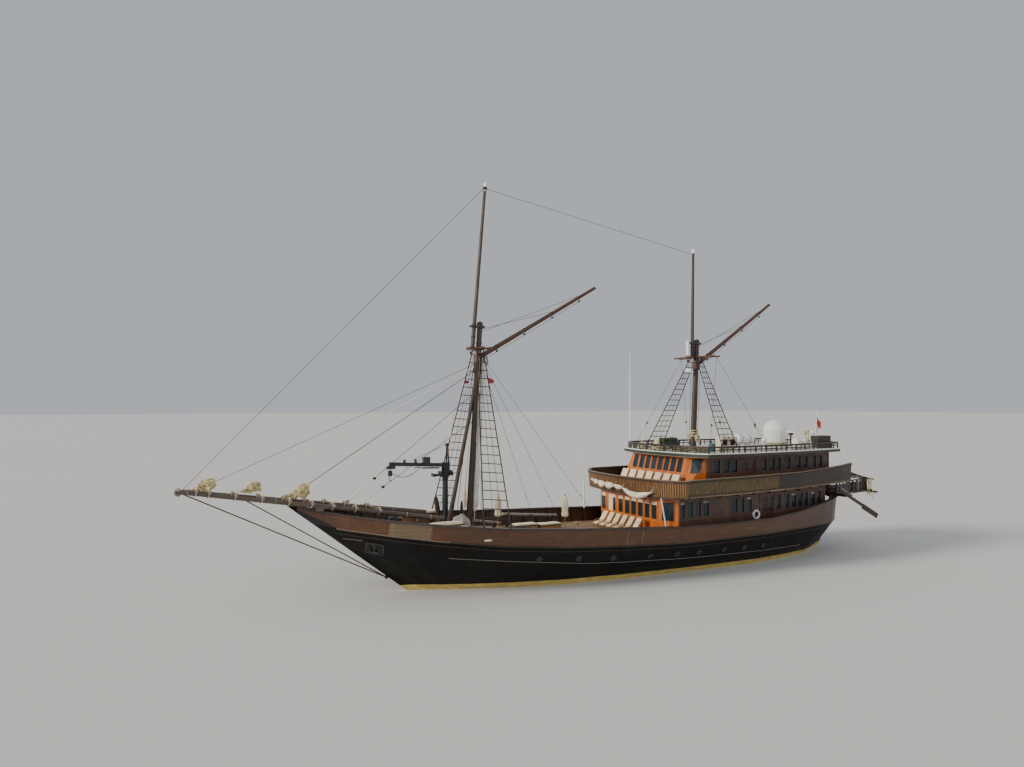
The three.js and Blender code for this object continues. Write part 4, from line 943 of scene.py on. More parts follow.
class SCHOONER_OT_decks(bpy.types.Operator):
    """Lay the decks and the seats, tables, parasols and covers that stand on them"""
    bl_idname = "schooner.decks"
    bl_label = "Decks and deck gear"

    def execute(self, context):
        recoat("deck", "main_deck", "upper_deck")
        self.windlass()
        self.hatches()
        self.hung_gear()
        self.spare_spars()
        self.seats()
        self.parasols()
        self.chairs()
        return {"FINISHED"}

    def windlass(self):
        gear = Piece()
        x, z = 17.8, deck_top(18.0)
        gear.pillar(x, 0, 0.3, 0.9, z, z + 0.12, 1)
        for y in (-0.75, 0.75):
            gear.pillar(x, y, 0.25, 0.09, z + 0.12, z + 0.75, 1)
        drums = [(y, 0.09, 0.19, 16) for y in (-1.0, -0.5, 0.5, 1.0)]
        for y, half, radius, sides in [(0, 1.05, 0.11, 16), *drums, (0, 0.22, 0.24, 20)]:
            gear.rod((x, y - half, z + 0.52), (x, y + half, z + 0.52), radius, sides=sides)
        gear.done("windlass", ["steel", "trim"], edge=0.012)

    def hatches(self):
        hatch = Piece()
        for x0, x1, y0, y1, rise in ((15.9, 17.0, -0.6, 0.6, 0.32), (8.6, 9.9, -0.7, 0.7, 0.3)):
            z = deck_top(x1)
            hatch.block((x0, y0, deck_top(x0)), (x1, y1, z + rise))
            hatch.block((x0 - 0.06, y0 - 0.06, z + rise), (x1 + 0.06, y1 + 0.06, z + rise + 0.06), 1)
            for k in range(4):
                y = lerp(y0 + 0.12, y1 - 0.12, k / 3)
                hatch.block((x0, y - 0.03, z + rise + 0.06), (x1, y + 0.03, z + rise + 0.09), 1)
        hatch.done("deck_hatches", ["bench", "trim"], edge=0.012)

    def hung_gear(self):
        """The covered winch, the gear that hangs at the foremast and the whip aerial's pole."""
        covers = Piece()
        z = deck_top(14.9)
        cover = covers.ball((14.05, 1.3, z + 0.55), (0.6, 0.45, 0.62), detail=4)
        for v in cover:
            v.co.z = max(v.co.z, z + 0.02 - 0.01 * (v.co.x - 14.9))
        covers.rumple(cover, 0.16, 3.1, 2)
        covers.done("covered_winch", "grey_canvas")
        hung, gear = Piece(), Piece()
        coil = hung.hose([(13.36, 0.3, h) for h in (4.61, 4.75, 5.2, 5.6, 5.88)],
                         [0.06, 0.12, 0.11, 0.10, 0.05], 16)
        hung.rumple(coil, 0.05, 7.0)
        hung.done("hanging_coil", "pale_rope", subdivide=1)
        for path, radius in ((((13.4, -0.05, 5.06), (13.42, -0.05, 4.6), (13.4, -0.05, 4.2)), 0.10),
                             (((14.71, -1.05, 5.33), (14.6, -1.1, 4.7), (14.5, -1.1, 4.0)), 0.17)):
            gear.rumple(gear.hose(path, [radius * 0.5, radius, radius * 0.9], 14), 0.06, 6.0)
        gear.done("hanging_gear", "rope", subdivide=1)
        pole = Piece()
        pole.post(1.8, -4.5, cap_top(1.8), 5.38, 0.05, sides=12)
        pole.post(1.8, -4.5, 5.3, 7.99, 0.014, sides=6)
        pole.done("whip_pole", "white")

    def spare_spars(self):
        logs = Piece()
        for start, end, radius in (((15.2, -1.5, 4.02), (10.1, -1.5, 3.23), 0.10),
                                   ((9.4, -2.5, 3.65), (5.3, -2.5, 3.32), 0.09)):
            start, end = Vector(start), Vector(end)
            logs.hose(between(start, end, 12), radius, 12)
            for t in (0.08, 0.5, 0.92):
                spot = start.lerp(end, t)
                ground = deck_top(spot.x)
                for dy in (-0.14, 0.14):
                    logs.pillar(spot.x, spot.y + dy, 0.05, 0.04, ground - 0.01, spot.z + 0.02, 1)
                under = spot.z - radius
                logs.pillar(spot.x, spot.y, 0.05, 0.2, under - 0.07, under + 0.01, 1)
        logs.done("spare_spars", ["grey_timber", "trim"])

    def seats(self):
        """Padded boxes on both sides ahead of the foremast, and day beds and tables abaft it."""
        boxes = Piece()
        table = [
            # x aft, x fore, y inner, y outer, height of the box, how thick its pad is
            (14.35, 16.35, 2.05, 2.45, 0.56, 0.20),
            (14.1, 16.0, 2.5, 2.9, 0.38, 0.20),
            (13.95, 16.55, -2.85, -2.05, 0.62, 0.20),
            (7.4, 9.0, 1.1, 1.8, 0.30, 0.14),
            (5.6, 7.2, 1.1, 1.8, 0.30, 0.14),
            (7.4, 9.0, -2.0, -1.3, 0.30, 0.14),
            (5.6, 7.2, -2.0, -1.3, 0.30, 0.14),
        ]
        for number, (x0, x1, y0, y1, rise, thick) in enumerate(table):
            z0, z1 = deck_top(x0), deck_top(x1)
            top = z1 + rise
            boxes.plate([(x0, y0, z0), (x1, y0, z1), (x1, y0, top), (x0, y0, top)], (0, y1 - y0, 0))
            boxes.block((x0 - 0.03, y0 - 0.03, top), (x1 + 0.03, y1 + 0.03, top + 0.035), 1)
            pad = Piece()
            count = 1 if y1 - y0 < 0.5 else 2
            run = (x1 - x0) / count
            for k in range(count):
                pad.pillow((x0 + run * (k + 0.5), (y0 + y1) / 2, top + 0.035 + thick / 2), X, Z,
                           (run - 0.03, y1 - y0 - 0.02, thick))
            pad.stuffed(f"seat_pads_{number + 1}", "canvas", 0.75, subdivide=1)
        boxes.block((9.3, -0.9, deck_top(9.3) + 0.34), (10.6, -0.2, deck_top(9.3) + 0.40), 1)
        for x in (9.4, 10.5):
            for y in (-0.85, -0.25):
                boxes.pillar(x, y, 0.04, 0.04, deck_top(x) - 0.01, deck_top(9.3) + 0.35, 1)
        for x, y in ((11.6, 1.9), (4.9, 1.4), (4.4, -1.2)):
            z = deck_top(x)
            boxes.post(x, y, z, z + 0.05, 0.2, sides=16)
            boxes.post(x, y, z + 0.04, z + 0.5, 0.05, sides=10)
            boxes.post(x, y, z + 0.48, z + 0.53, 0.3, sides=20)
        boxes.done("deck_seats", ["bench", "trim"], edge=0.012)

    def parasols(self):
        for number, (x, y, top) in enumerate(((10.49, -0.95, 5.13), (6.1, 0.0, 4.95))):
            z = deck_top(x)
            pole = Piece()
            pole.lathe([(0, 0), (0.30, 0), (0.30, 0.06), (0.09, 0.12), (0.045, 0.3), (0.028, 0.4)],
                       (x, y, z), Z, 20)
            pole.post(x, y, z + 0.35, top, 0.028, sides=12)
            pole.ball((x, y, top + 0.03), 0.05)
            pole.done(f"parasol_pole_{number + 1}", "bench")
            canopy = Piece()
            low = top - 1.4
            rings = [(0.0, 0.20), (0.15, 0.23), (0.33, 0.19), (0.38, 0.18), (0.65, 0.22), (1.0, 0.20),
                     (1.22, 0.15), (1.36, 0.06)]
            verts = canopy.hose([(x, y, low + h) for h, _ in rings], [r for _, r in rings], 24)
            for v in verts:
                angle = math.atan2(v.co.y - y, v.co.x - x)
                flute = 1 + 0.22 * math.cos(8 * angle) * (1 if v.co.z < low + 1.3 else 0.3)
                v.co.x, v.co.y = x + (v.co.x - x) * flute, y + (v.co.y - y) * flute
            canopy.ring((x, y, low + 0.36), Z, 0.185, 0.014, 20, paint=1)
            canopy.stuffed(f"parasol_{number + 1}", ["canvas", "pale_rope"], 0.2, subdivide=1)

    def chairs(self):
        """Reclined canvas chairs in a row ahead of the saloon."""
        frames = Piece()
        for number, y in enumerate((-1.8, -1.02, -0.24, 0.54, 1.32, 2.1)):
            x = 2.02
            z = deck_top(x)
            foot, seat, head = (x + 0.62, z + 0.24), (x + 0.05, z + 0.34), (x - 0.42, z + 1.06)
            for s in (-0.27, 0.27):
                frames.beam((foot[0], y + s, foot[1]), (seat[0] - 0.1, y + s, seat[1]), 0.035, 0.05)
                frames.beam((seat[0], y + s, seat[1] - 0.04), (head[0], y + s, head[1]), 0.035, 0.05, X)
                for leg in (foot[0] - 0.08, seat[0] + 0.02):
                    frames.beam((leg, y + s, z + 0.002), (leg, y + s, z + 0.3), 0.035, 0.045, X)
                frames.beam((x + 0.45, y + s, z + 0.52), (x - 0.2, y + s, z + 0.6), 0.05, 0.03)
                frames.beam((x + 0.4, y + s, z + 0.26), (x + 0.4, y + s, z + 0.52), 0.03, 0.04, X)
            for px, pz in (foot, seat, head):
                frames.rod((px, y - 0.27, pz), (px, y + 0.27, pz), 0.02, sides=8)
            pads = Piece()
            a, b = Vector((seat[0], y, seat[1] + 0.04)), Vector((foot[0], y, foot[1] + 0.04))
            pads.pillow((a + b) / 2 + Z * 0.05, b - a, Z, ((b - a).length, 0.5, 0.11))
            c = Vector((head[0], y, head[1]))
            a = Vector((seat[0], y, seat[1]))
            out = (c - a).normalized().cross(Y) * -1
            pads.pillow((a + c) / 2 + out * 0.075, c - a, out, ((c - a).length, 0.5, 0.12))
            pads.stuffed(f"chair_pads_{number + 1}", "cushion", 0.6, subdivide=1)
        frames.done("chair_frames", "bench", edge=0.006)


# Bowsprit

class SCHOONER_OT_bowsprit(bpy.types.Operator):
    """Lash the bowsprit and stow the jibs on it"""
    bl_idname = "schooner.bowsprit"
    bl_label = "Bowsprit and jibs"

    def execute(self, context):
        recoat("sprit", "bowsprit")
        beams, lashings = Piece(), Piece()
        for number, x in enumerate(CROSS_BEAMS):
            for side in SIDES.values():
                spar = sprit(x, side)
                lift = spar + Z * 0.07
                for k, turn in enumerate((-0.05, 0.0, 0.05)):
                    lashings.ring(lift + X * turn, (1, 0.3 * side * (k - 1), 0.15), 0.205, 0.02, 16, 6,
                                  1 if number in (6, 8) and k == 1 else 0)
                end = Vector((x, spar.y + 0.36 * side, spar.z + 0.14))
                beams.lathe([(0, -0.02), (0.085, -0.02), (0.085, 0.09), (0, 0.1)], end, Y * side, 12)
        for side in SIDES.values():
            for x in (16.0, 17.4, 24.6, 29.0):
                spot = sprit(x, side)
                beams.ring(spot, SPRIT_TIP - SPRIT_HEEL, 0.15, 0.02, 20)
        beams.lathe([(0, 0), (0.2, 0), (0.24, 0.06), (0.2, 0.2), (0.09, 0.3), (0, 0.32)],
                    (29.35, 0, sprit(29.1).z + 0.02), X, 20, 0)
        beams.done("bowsprit_fittings", "grey_timber")
        lashings.done("bowsprit_lashings", ["pale_rope", "red_cloth"])
        self.stowed_jibs()
        return {"FINISHED"}

    def stowed_jibs(self):
        table = [
            # foot x, foot z, head x, head z, radius
            (28.80, 6.42, 27.68, 6.80, 0.28),
            (26.36, 6.22, 25.36, 6.56, 0.27),
            (23.95, 5.72, 22.76, 6.28, 0.34),
        ]
        shape = [(0.0, 0.12), (0.12, 0.20), (0.3, 0.40), (0.5, 0.68), (0.68, 0.95), (0.86, 1.0),
                 (0.97, 0.78), (1.0, 0.40)]
        for number, (x0, z0, x1, z1, radius) in enumerate(table):
            a, b = Vector((x0, 0, z0)), Vector((x1, 0, z1))
            jib = Piece()
            path = [a.lerp(b, t) - Z * 0.04 * math.sin(math.pi * t) for t, _ in shape]
            jib.hose(path, [radius * r for _, r in shape], 24)
            for _ in range(2):
                bmesh.ops.subdivide_edges(jib.mesh, edges=jib.mesh.edges[:], cuts=1, use_grid_fill=True)
            lumps = jib.mesh.verts[:]
            jib.rumple(lumps, 0.20, 4.2, number * 7.0)
            jib.rumple(lumps, 0.11, 10.0, number * 3.0)
            jib.stuffed(f"stowed_jib_{number + 1}", "ochre", 0.4)
            ties = Piece()
            for t, r in ((0.2, 0.34), (0.45, 0.66), (0.7, 1.02)):
                ties.ring(a.lerp(b, t), b - a, radius * r, 0.018, 20, 6)
            ties.done(f"jib_ties_{number + 1}", "pale_rope")


# Masts, gaffs and the furled foresail

def pulley(piece, point, size=0.11, way=Y):
    """A wooden block with its sheave."""
    piece.lathe([(0, -size * 0.45), (size * 0.75, -size * 0.4), (size, 0), (size * 0.75, size * 0.4),
                 (0, size * 0.45)], point, way, 14)


class SCHOONER_OT_masts(bpy.types.Operator):
    """Finish the masts, topmasts and gaffs with their bands, blocks and furled sail"""
    bl_idname = "schooner.masts"
    bl_label = "Masts and gaffs"

    def execute(self, context):
        recoat("spar", "fore_mast", "mizzen_mast", "fore_mast_leg", "fore_topmast", "mizzen_topmast")
        recoat("gaff", "main_gaff", "mizzen_gaff", "mizzen_crosstree", "fore_crosstree")
        self.bands()
        self.gaff_gear("main_gaff", FORE, MAIN_PEAK)
        self.gaff_gear("mizzen_gaff", MIZZEN, MIZZEN_PEAK)
        self.foresail()
        self.mast_ropes()
        return {"FINISHED"}

    def bands(self):
        iron, timber = Piece(), Piece()
        for mast in (FORE, MIZZEN):
            up = mast.up()
            for h in (0.35, mast.hounds * 0.35, mast.hounds * 0.6, mast.hounds + 0.4, mast.head - 0.1):
                wide = mast.wide(h)
                iron.lathe([(wide, -0.05), (wide + 0.018, -0.05), (wide + 0.018, 0.05), (wide, 0.05)],
                           mast.at(h), up, 16)
            head = mast.at(mast.head)
            timber.lathe([(0, 0), (mast.wide(mast.head) * 1.15, 0), (mast.wide(mast.head) * 1.2, 0.07),
                          (0.06, 0.16), (0, 0.17)], head, up, 16)
            white = -0.45 if mast is FORE else -0.2
            timber.lathe([(0.09, white), (0.106, white), (0.102, 0.01), (0.06, 0.09), (0, 0.1)],
                         mast.topmast(mast.top), up, 16, 1)
            for h in (mast.hounds + 0.75, mast.cap + 0.14):
                timber.ring(mast.topmast(h), up, 0.14, 0.03, 18)
            for s in (-1, 1):
                spot = mast.at(mast.hounds - 0.2, 0.23, s * 0.62)
                pulley(iron, spot, 0.12, X)
                iron.rod(spot + up * 0.08, spot + up * 0.21, 0.02)
        for s in (-1, 1):
            for h in (1.1, 1.25):
                iron.rod(FORE.at(h, 0, s * 0.18), FORE.at(h, 0.02, s * 0.42), 0.02, 0.028, 8)
        timber.done("mast_caps", ["trim", "white"], slot="spar_dark")
        iron.done("mast_bands", "steel")
        rails = Piece()
        for s in (-1, 1):
            for x in (12.3, 13.8):
                z = deck_top(x)
                rails.pillar(x, s * PIN_RAIL, 0.06, 0.06, z, z + 0.9)
            rails.beam((12.15, s * PIN_RAIL, deck_top(12.3) + PIN_RAIL_UP),
                       (13.95, s * PIN_RAIL, deck_top(13.8) + PIN_RAIL_UP), 0.16, 0.07, paint=1)
            for k in range(6):
                x = lerp(12.4, 13.7, k / 5)
                z = deck_top(x) + PIN_RAIL_UP
                rails.post(x, s * PIN_RAIL, z - 0.2, z + 0.2, 0.018, 0.026, 8, 1)
        rails.done("pin_rails", ["bench", "trim"], slot="rail_dark", edge=0.008)

    def gaff_gear(self, body, mast, peak):
        root = mast.at(mast.gaff)
        way = (peak - root).normalized()
        iron = Piece()
        for t in (0.15, 0.38, 0.62, 0.86):
            spot = root.lerp(peak, t)
            iron.ring(spot, way, lerp(*GAFF_RADII, t) + 0.004, 0.018, 16)
            pulley(iron, spot - Z * 0.26, 0.08)
        iron.lathe([(0, 0), (0.104, 0), (0.11, 0.05), (0.05, 0.11), (0, 0.12)], peak, way, 14)
        line = Piece()
        low = Vector((0, 0, -0.28))
        line.rod(root + way * 0.9 + low * 1.2, root.lerp(peak, 0.88) + low, 0.014, sides=6)
        iron.done(f"{body}_bands", "steel", body)
        line.done(f"{body}_line", "rope", body)
        if mast is FORE:
            coil = Piece()
            under = root + way * 0.62 - Z * 0.2
            for k in range(4):
                loop = [under + Vector((0.04 * (k % 2), 0.06 * (k - 1.5), -0.3))
                        + Vector((0.13 * math.sin(a), 0, 0.3 * math.cos(a)))
                        for a in circle(18, closed=True)]
                coil.hose(loop, 0.035, 6)
            coil.done("gaff_coil", "grey_rope", body)

    def foresail(self):
        """The foresail brailed up against the mast in one long wrinkled roll."""
        sail = Piece()
        shape = [(1.35, 0.06), (1.6, 0.16), (2.2, 0.19), (3.0, 0.15), (3.8, 0.18), (4.6, 0.14),
                 (5.4, 0.165), (6.2, 0.13), (7.0, 0.155), (7.8, 0.12), (8.6, 0.14), (9.3, 0.13),
                 (9.9, 0.2), (10.35, 0.22), (10.6, 0.12)]
        path = [FORE.at(h, -0.36 - 0.015 * math.sin(h * 2.2), 0.03 * math.sin(h * 1.7))
                for h, _ in shape]
        sail.hose(path, [r for _, r in shape], 20)
        bmesh.ops.subdivide_edges(sail.mesh, edges=sail.mesh.edges[:], cuts=2, use_grid_fill=True)
        sail.rumple(sail.mesh.verts[:], 0.10, 2.6, 4.0)
        sail.rumple(sail.mesh.verts[:], 0.05, 9.0, 1.0)
        sail.stuffed("foresail_roll", "white_cloth", 0.4, replaces=["furled_foresail"], subdivide=1)
        ties = Piece()
        for h in (1.9, 3.0, 4.6, 6.2, 7.8, 9.3):
            ties.ring(FORE.at(h, -0.36), FORE.up(), 0.165, 0.015, 20, 6)
        ties.done("foresail_ties", "pale_rope")

    def mast_ropes(self):
        """Halyards down the masts and the rope hanks at their feet."""
        dark, pale = Piece(), Piece()
        for s in (-1, 1):
            for k, ahead in enumerate((-0.12, 0.08, 0.22)):
                top = FORE.at(FORE.hounds - 0.5, ahead * 0.5, s * 0.30)
                foot = Vector((12.5 + 0.45 * k, s * PIN_RAIL, deck_top(13.0) + 0.95))
                (pale if k == 1 else dark).rod(foot, top, 0.015, sides=6)
            for k, ahead in enumerate((-0.1, 0.12)):
                dark.rod(MIZZEN.at(0.5, ahead, s * 0.3), MIZZEN.at(MIZZEN.gaff - 0.4, ahead, s * 0.34),
                         0.014, sides=6)
        for k in range(5):
            h = 0.95 + 0.10 * k
            pale.ring(MIZZEN.at(h, 0.0, 0.0), (0, 0.25 * (k % 2), 1), 0.25 + 0.01 * k, 0.035, 20, 8)
        for s in (-1, 1):
            for k in range(3):
                centre = MIZZEN.at(1.05, -0.02, s * (0.34 + 0.05 * k))
                turn = [centre + Vector((0.05 * math.sin(a) + 0.16 * math.cos(a), 0.02 * k * s,
                                         0.28 * math.sin(a) - 0.28)) for a in circle(16)]
                pale.hose(turn + turn[:1], 0.028, 6)
        pale.rod((13.68, 0, 13.49), (14.62, 0.85, 7.89), 0.018, sides=6)
        for x, z in ((-7.04, 9.59), (-10.43, 9.26)):
            dark.post(x, 0, z - 0.25, z + 0.3, 0.012, sides=6)
            pulley(dark, Vector((x, 0, z)), 0.09)
        dark.done("dark_halyards", "rope")
        pale.done("pale_halyards", "pale_rope")


# Standing and running rigging

class SCHOONER_OT_rigging(bpy.types.Operator):
    """Set up the stays, backstays, lifts, lanyards and flags"""
    bl_idname = "schooner.rigging"
    bl_label = "Rigging"

    def execute(self, context):
        recoat("rope", "bobstays", *both("fore_shrouds"), *both("mizzen_shrouds"))
        self.stays()
        self.backstays()
        self.lifts()
        self.lanyards()
        self.flags()
        return {"FINISHED"}

    def stays(self):
        wire = sizes().wire
        band = STAY_BAND
        dark, white = Piece(), Piece()
        dark.lathe([(0.185, 0), (0.25, 0), (0.25, 0.6), (0.185, 0.6)], FORE.at(band), FORE.up(), 18)
        for h, x, piece, thick in ((0.55, 28.6, dark, 0.6), (0.36, 26.66, white, 1.5),
                                   (0.14, 23.92, dark, 1.0)):
            piece.rod((x, 0, sprit(x).z + 0.14), FORE.at(band + h, 0.18), wire * thick, sides=6)
        for name, side in SIDES.items():
            head, bend = (FORE.at(h, 0.1, 0.2 * side) for h in (band + 0.1, SIDE_STAY[name]))
            foot = sprit(20.33, side) + Z * 0.14
            dark.rod(foot, bend, wire * 0.8, sides=6)
            dark.rod(bend, head, wire * 0.8, sides=6)
            dark.ball(bend, 0.05, detail=2)
            white.rod(foot.lerp(bend, 0.02), foot.lerp(bend, 0.21), wire * 2.0, sides=8)
            for t in (0.015, 0.215):
                dark.ball(foot.lerp(bend, t), (0.12, 0.07, 0.08))
        dark.done("headstays", "rope", replaces=["fore_stays"])
        white.done("white_stays", "white_cloth", slot="rope_dark")
        top = Piece()
        band = FORE.top - 0.4
        top.lathe([(0.09, 0), (0.13, 0), (0.13, 0.2), (0.09, 0.2)], FORE.topmast(band), FORE.up(), 14)
        top.rod(FORE.topmast(band + 0.1, 0.08), (29.25, 0, sprit(29.1).z + 0.1), wire * 0.7, sides=6)
        top.rod(FORE.topmast(band + 0.1, -0.08), MIZZEN.topmast(MIZZEN.top - 0.3), wire * 0.7, sides=6)
        top.done("topmast_wires", "rope", replaces=["topmast_stays"])

    def backstays(self):
        """Backstays of the foremast to the starboard rail, and the mizzen's to the roof."""
        wires = Piece()
        head = FORE.at(FORE.hounds, -0.23, -0.6)
        for x in (6.0, 3.9, 0.9):
            foot = Vector((x, -(cap_half(x) - 0.1), cap_top(x)))
            wires.rod(foot, head, sizes().wire * 0.6, sides=6)
            pulley(wires, foot.lerp(head, 0.08), 0.06, X)
        for x, y in ((-7.6, 4.3), (-2.4, 4.2)):
            for side in SIDES.values():
                foot = Vector((x, y * side, ROOF_TOP))
                head = MIZZEN.at(MIZZEN.hounds, -0.23, 1.9 * side)
                wires.rod(foot, head, sizes().wire * 0.6, sides=6)
                pulley(wires, foot.lerp(head, 0.28), 0.09, X)
        wires.done("backstays", "rope")

    def lifts(self):
        """Peak lifts from the mast to the gaffs."""
        for name, body, mast, peak in (("main", "main_gaff", FORE, MAIN_PEAK),
                                       ("mizzen", "mizzen_gaff", MIZZEN, MIZZEN_PEAK)):
            root = mast.at(mast.gaff)
            for number, (h, t) in enumerate(((mast.cap - 0.05, 0.62), (mast.cap - 0.2, 0.85))):
                a, b = mast.at(h, -0.16), root.lerp(peak, t) + Z * 0.12
                lift = Piece()
                lift.hose(between(a, b, 12), sizes().wire * 0.6, 6)
                piece = lift.done(f"{name}_lift_{number + 1}", "rope", body=None)
                a.lerp(b, 0.12) * SCALE
                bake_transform(piece)

    def lanyards(self):
        """Deadeyes and lanyards at the feet of the shrouds, and lines up their middle."""
        eyes, lines = Piece(), Piece()
        for mast, xs, y, z in ((FORE, (13.8, 12.2), (4.03, 4.28), None),
                               (MIZZEN, (-3.56, -5.0), (4.29, 4.18), ROOF_TOP)):
            for side in SIDES.values():
                heads = [mast.at(mast.hounds + 0.06, ahead, 0.28 * side) for ahead in (0.24, -0.18)]
                feet = [Vector((x, half * side, z or cap_top(x) + 0.01)) for x, half in zip(xs, y)]
                for foot, head in zip(feet, heads):
                    for t in (0.02, 0.075):
                        pulley(eyes, foot.lerp(head, t), 0.085, X)
                    for s in (-0.03, 0.03):
                        lines.rod(foot + X * s, foot.lerp(head, 0.08) + X * s, sizes().shroud, sides=6)
                for t in (0.36, 0.66):
                    lines.rod(feet[0].lerp(feet[1], t) + Z * 0.02, heads[0].lerp(heads[1], t),
                              sizes().wire * 0.7, sides=6)
        eyes.done("deadeyes", "trim")
        lines.done("lanyards", "rope")

    def flags(self):
        """Small red and white pennants in the fore shrouds."""
        for name, finish, point, size, rest in (
                ("pennant_red", "red_cloth", (11.1, -1.22, 12.62), (0.42, 0.46), "backstays"),
                ("pennant_white", "white_cloth", (11.13, -1.21, 12.42), (0.14, 0.5), "backstays"),
                ("pennant_bow", "red_cloth", (12.78, -0.99, 12.42), (0.26, 0.24),
                 "fore_shrouds_starboard")):
            long, tall = size

            def place(u, w):
                return Vector(point) + Vector((-u * long, 0.05 * math.sin(u * 7) * u,
                                               (w - 1) * tall * (1 - 0.55 * u) - 0.3 * u * tall))

            piece, area = Piece().cloth(name, finish, (10, 8), place)
            flat = (long * SCALE * CUT_SHARE, tall * SCALE * CUT_SHARE)
            min(area, flat[0] * flat[1])


# Deckhouses

SALOON = {"name": "saloon", "front": 1.1, "front_half": 3.3, "corner": 0.35, "half": 4.35,
          "aft": -13.75, "sill": 3.62, "head": 4.62, "pane": (3.45, 4.62), "lean": 0.0}
UPPER = {"name": "cabin", "front": -0.9, "front_half": 3.6, "corner": -2.4, "half": 3.9,
         "aft": -14.55, "sill": 6.3, "head": 7.15, "pane": (6.35, 7.28), "lean": 0.27}
SIDE_WINDOWS = {
    "saloon": [(-0.25, 0.2), (-0.93, -0.44), (-1.62, -1.12), (-2.33, -1.82), (-4.94, -4.32),
               (-5.54, -5.12), (-6.26, -5.78), (-9.09, -8.69), (-9.95, -9.55), (-10.69, -10.2),
               (-11.35, -10.85), (-11.9, -11.5), (-12.66, -12.23), (-13.32, -12.88)],
    "cabin": [(-3.6, -3.05), (-4.45, -3.91), (-5.23, -4.62), (-8.01, -7.51), (-8.82, -8.32),
              (-9.43, -8.97), (-10.41, -9.96), (-11.5, -10.98), (-12.23, -11.71), (-13.14, -12.82),
              (-13.8, -13.4)],
}
# x aft, x fore and z of the head of each doorway
DOORWAYS = {"saloon": (-8.4, -7.2, 4.7), "cabin": (-6.9, -5.6, 7.12)}
# How far casings, side panels and mouldings stand from the doorway, clear of a leaf at 100 degrees
CASING_OFF, PANEL_OFF, MOULDING_OFF = 0.105, 0.285, 0.06
FRONT_PANES = {
    "saloon": [(-3.2, -2.7), (-2.36, -1.48), (-1.14, -0.6), (-0.38, 0.2), (0.36, 0.93), (1.12, 1.7),
               (1.86, 2.42), (2.6, 3.18)],
    "cabin": [(y, y + 0.56) for y in (-2.72, -2.0, -1.3, -0.6, 0.1, 0.8, 1.5, 2.2)],
}


# The wheelhouse's front leans back from this height
WHEELHOUSE_FLOOR = on_upper_deck(UPPER["corner"] - 0.1)
# Its corner panels: foot and head, and the half-breadths of the pane's sill and head
PANEL_FOOT, PANEL_HEAD = 5.19, 7.41
CANTED_SILL, CANTED_HEAD = (3.80, 3.45), (3.78, 3.28)
# The saloon's corner panes: the way out of the opening, its middle and half its width
CANTED_OUT, CANTED_MIDDLE, CANTED_HALF = Vector((0.58, 0.81, 0)), Vector((0.725, 3.825, 0)), 0.37


def wall_face(house, x):
    """Half-breadth of a house's outer side at x."""
    return house["half"] + WALL_TAPER * (x - house["corner"])


def on_wall(house, x, z, side, proud=0.0):
    """A point on a house's outer side, or this far out from it."""
    return Vector((x, (wall_face(house, x) + proud) * side, z))


class Window:
    """Builds windows into three pieces: casings, panes and blinds."""

    def __init__(self):
        self.casing, self.pane, self.blind = Piece(), Piece(), Piece()

    def add(self, centre, along, up, width, height, rim=0.05, blind=0.0, inset=0.055, curtain=0.0):
        """Blind and curtain are the covered shares of the pane's height and width."""
        along, up = Vector(along).normalized(), Vector(up).normalized()
        out = along.cross(up)
        centre = Vector(centre)
        for s in (-1, 1):
            self.casing.board(centre + along * s * (width / 2 + rim / 2 - 0.012), up, out,
                              (height + 2 * rim, rim, 0.05))
            self.casing.board(centre + up * s * (height / 2 + rim / 2 - 0.012), along, out,
                              (width + 2 * rim, rim, 0.055))
        self.pane.board(centre - out * inset, along, up, (width + 0.01, 0.012, height + 0.01))
        cover = centre - out * (inset - 0.015)
        if blind:
            drop = height * blind
            self.blind.board(cover + up * (height - drop) / 2, along, up, (width - 0.02, 0.012, drop))
        if curtain:
            self.blind.board(cover - along * width * (1 - curtain) / 2 - out * 0.002, along, up,
                             (width * curtain, 0.012, height - 0.02))

    def panel(self, corners, out, rim):
        """A pane through corners that needn't lie in one plane, and its casing."""
        for a, b in zip(corners, corners[1:] + corners[:1]):
            way = (b - a).normalized() * rim / 2
            self.casing.beam(a - way, b + way, rim, 0.05, out)
        self.pane.plate([c - out * 0.03 for c in corners], out * -0.012)

    def done(self, name, finish, blind_finish="canvas"):
        self.casing.done(f"{name}_casings", finish, edge=0.008)
        self.pane.done(f"{name}_glass", "glass")
        if self.blind.mesh.verts:
            self.blind.done(f"{name}_blinds", blind_finish)


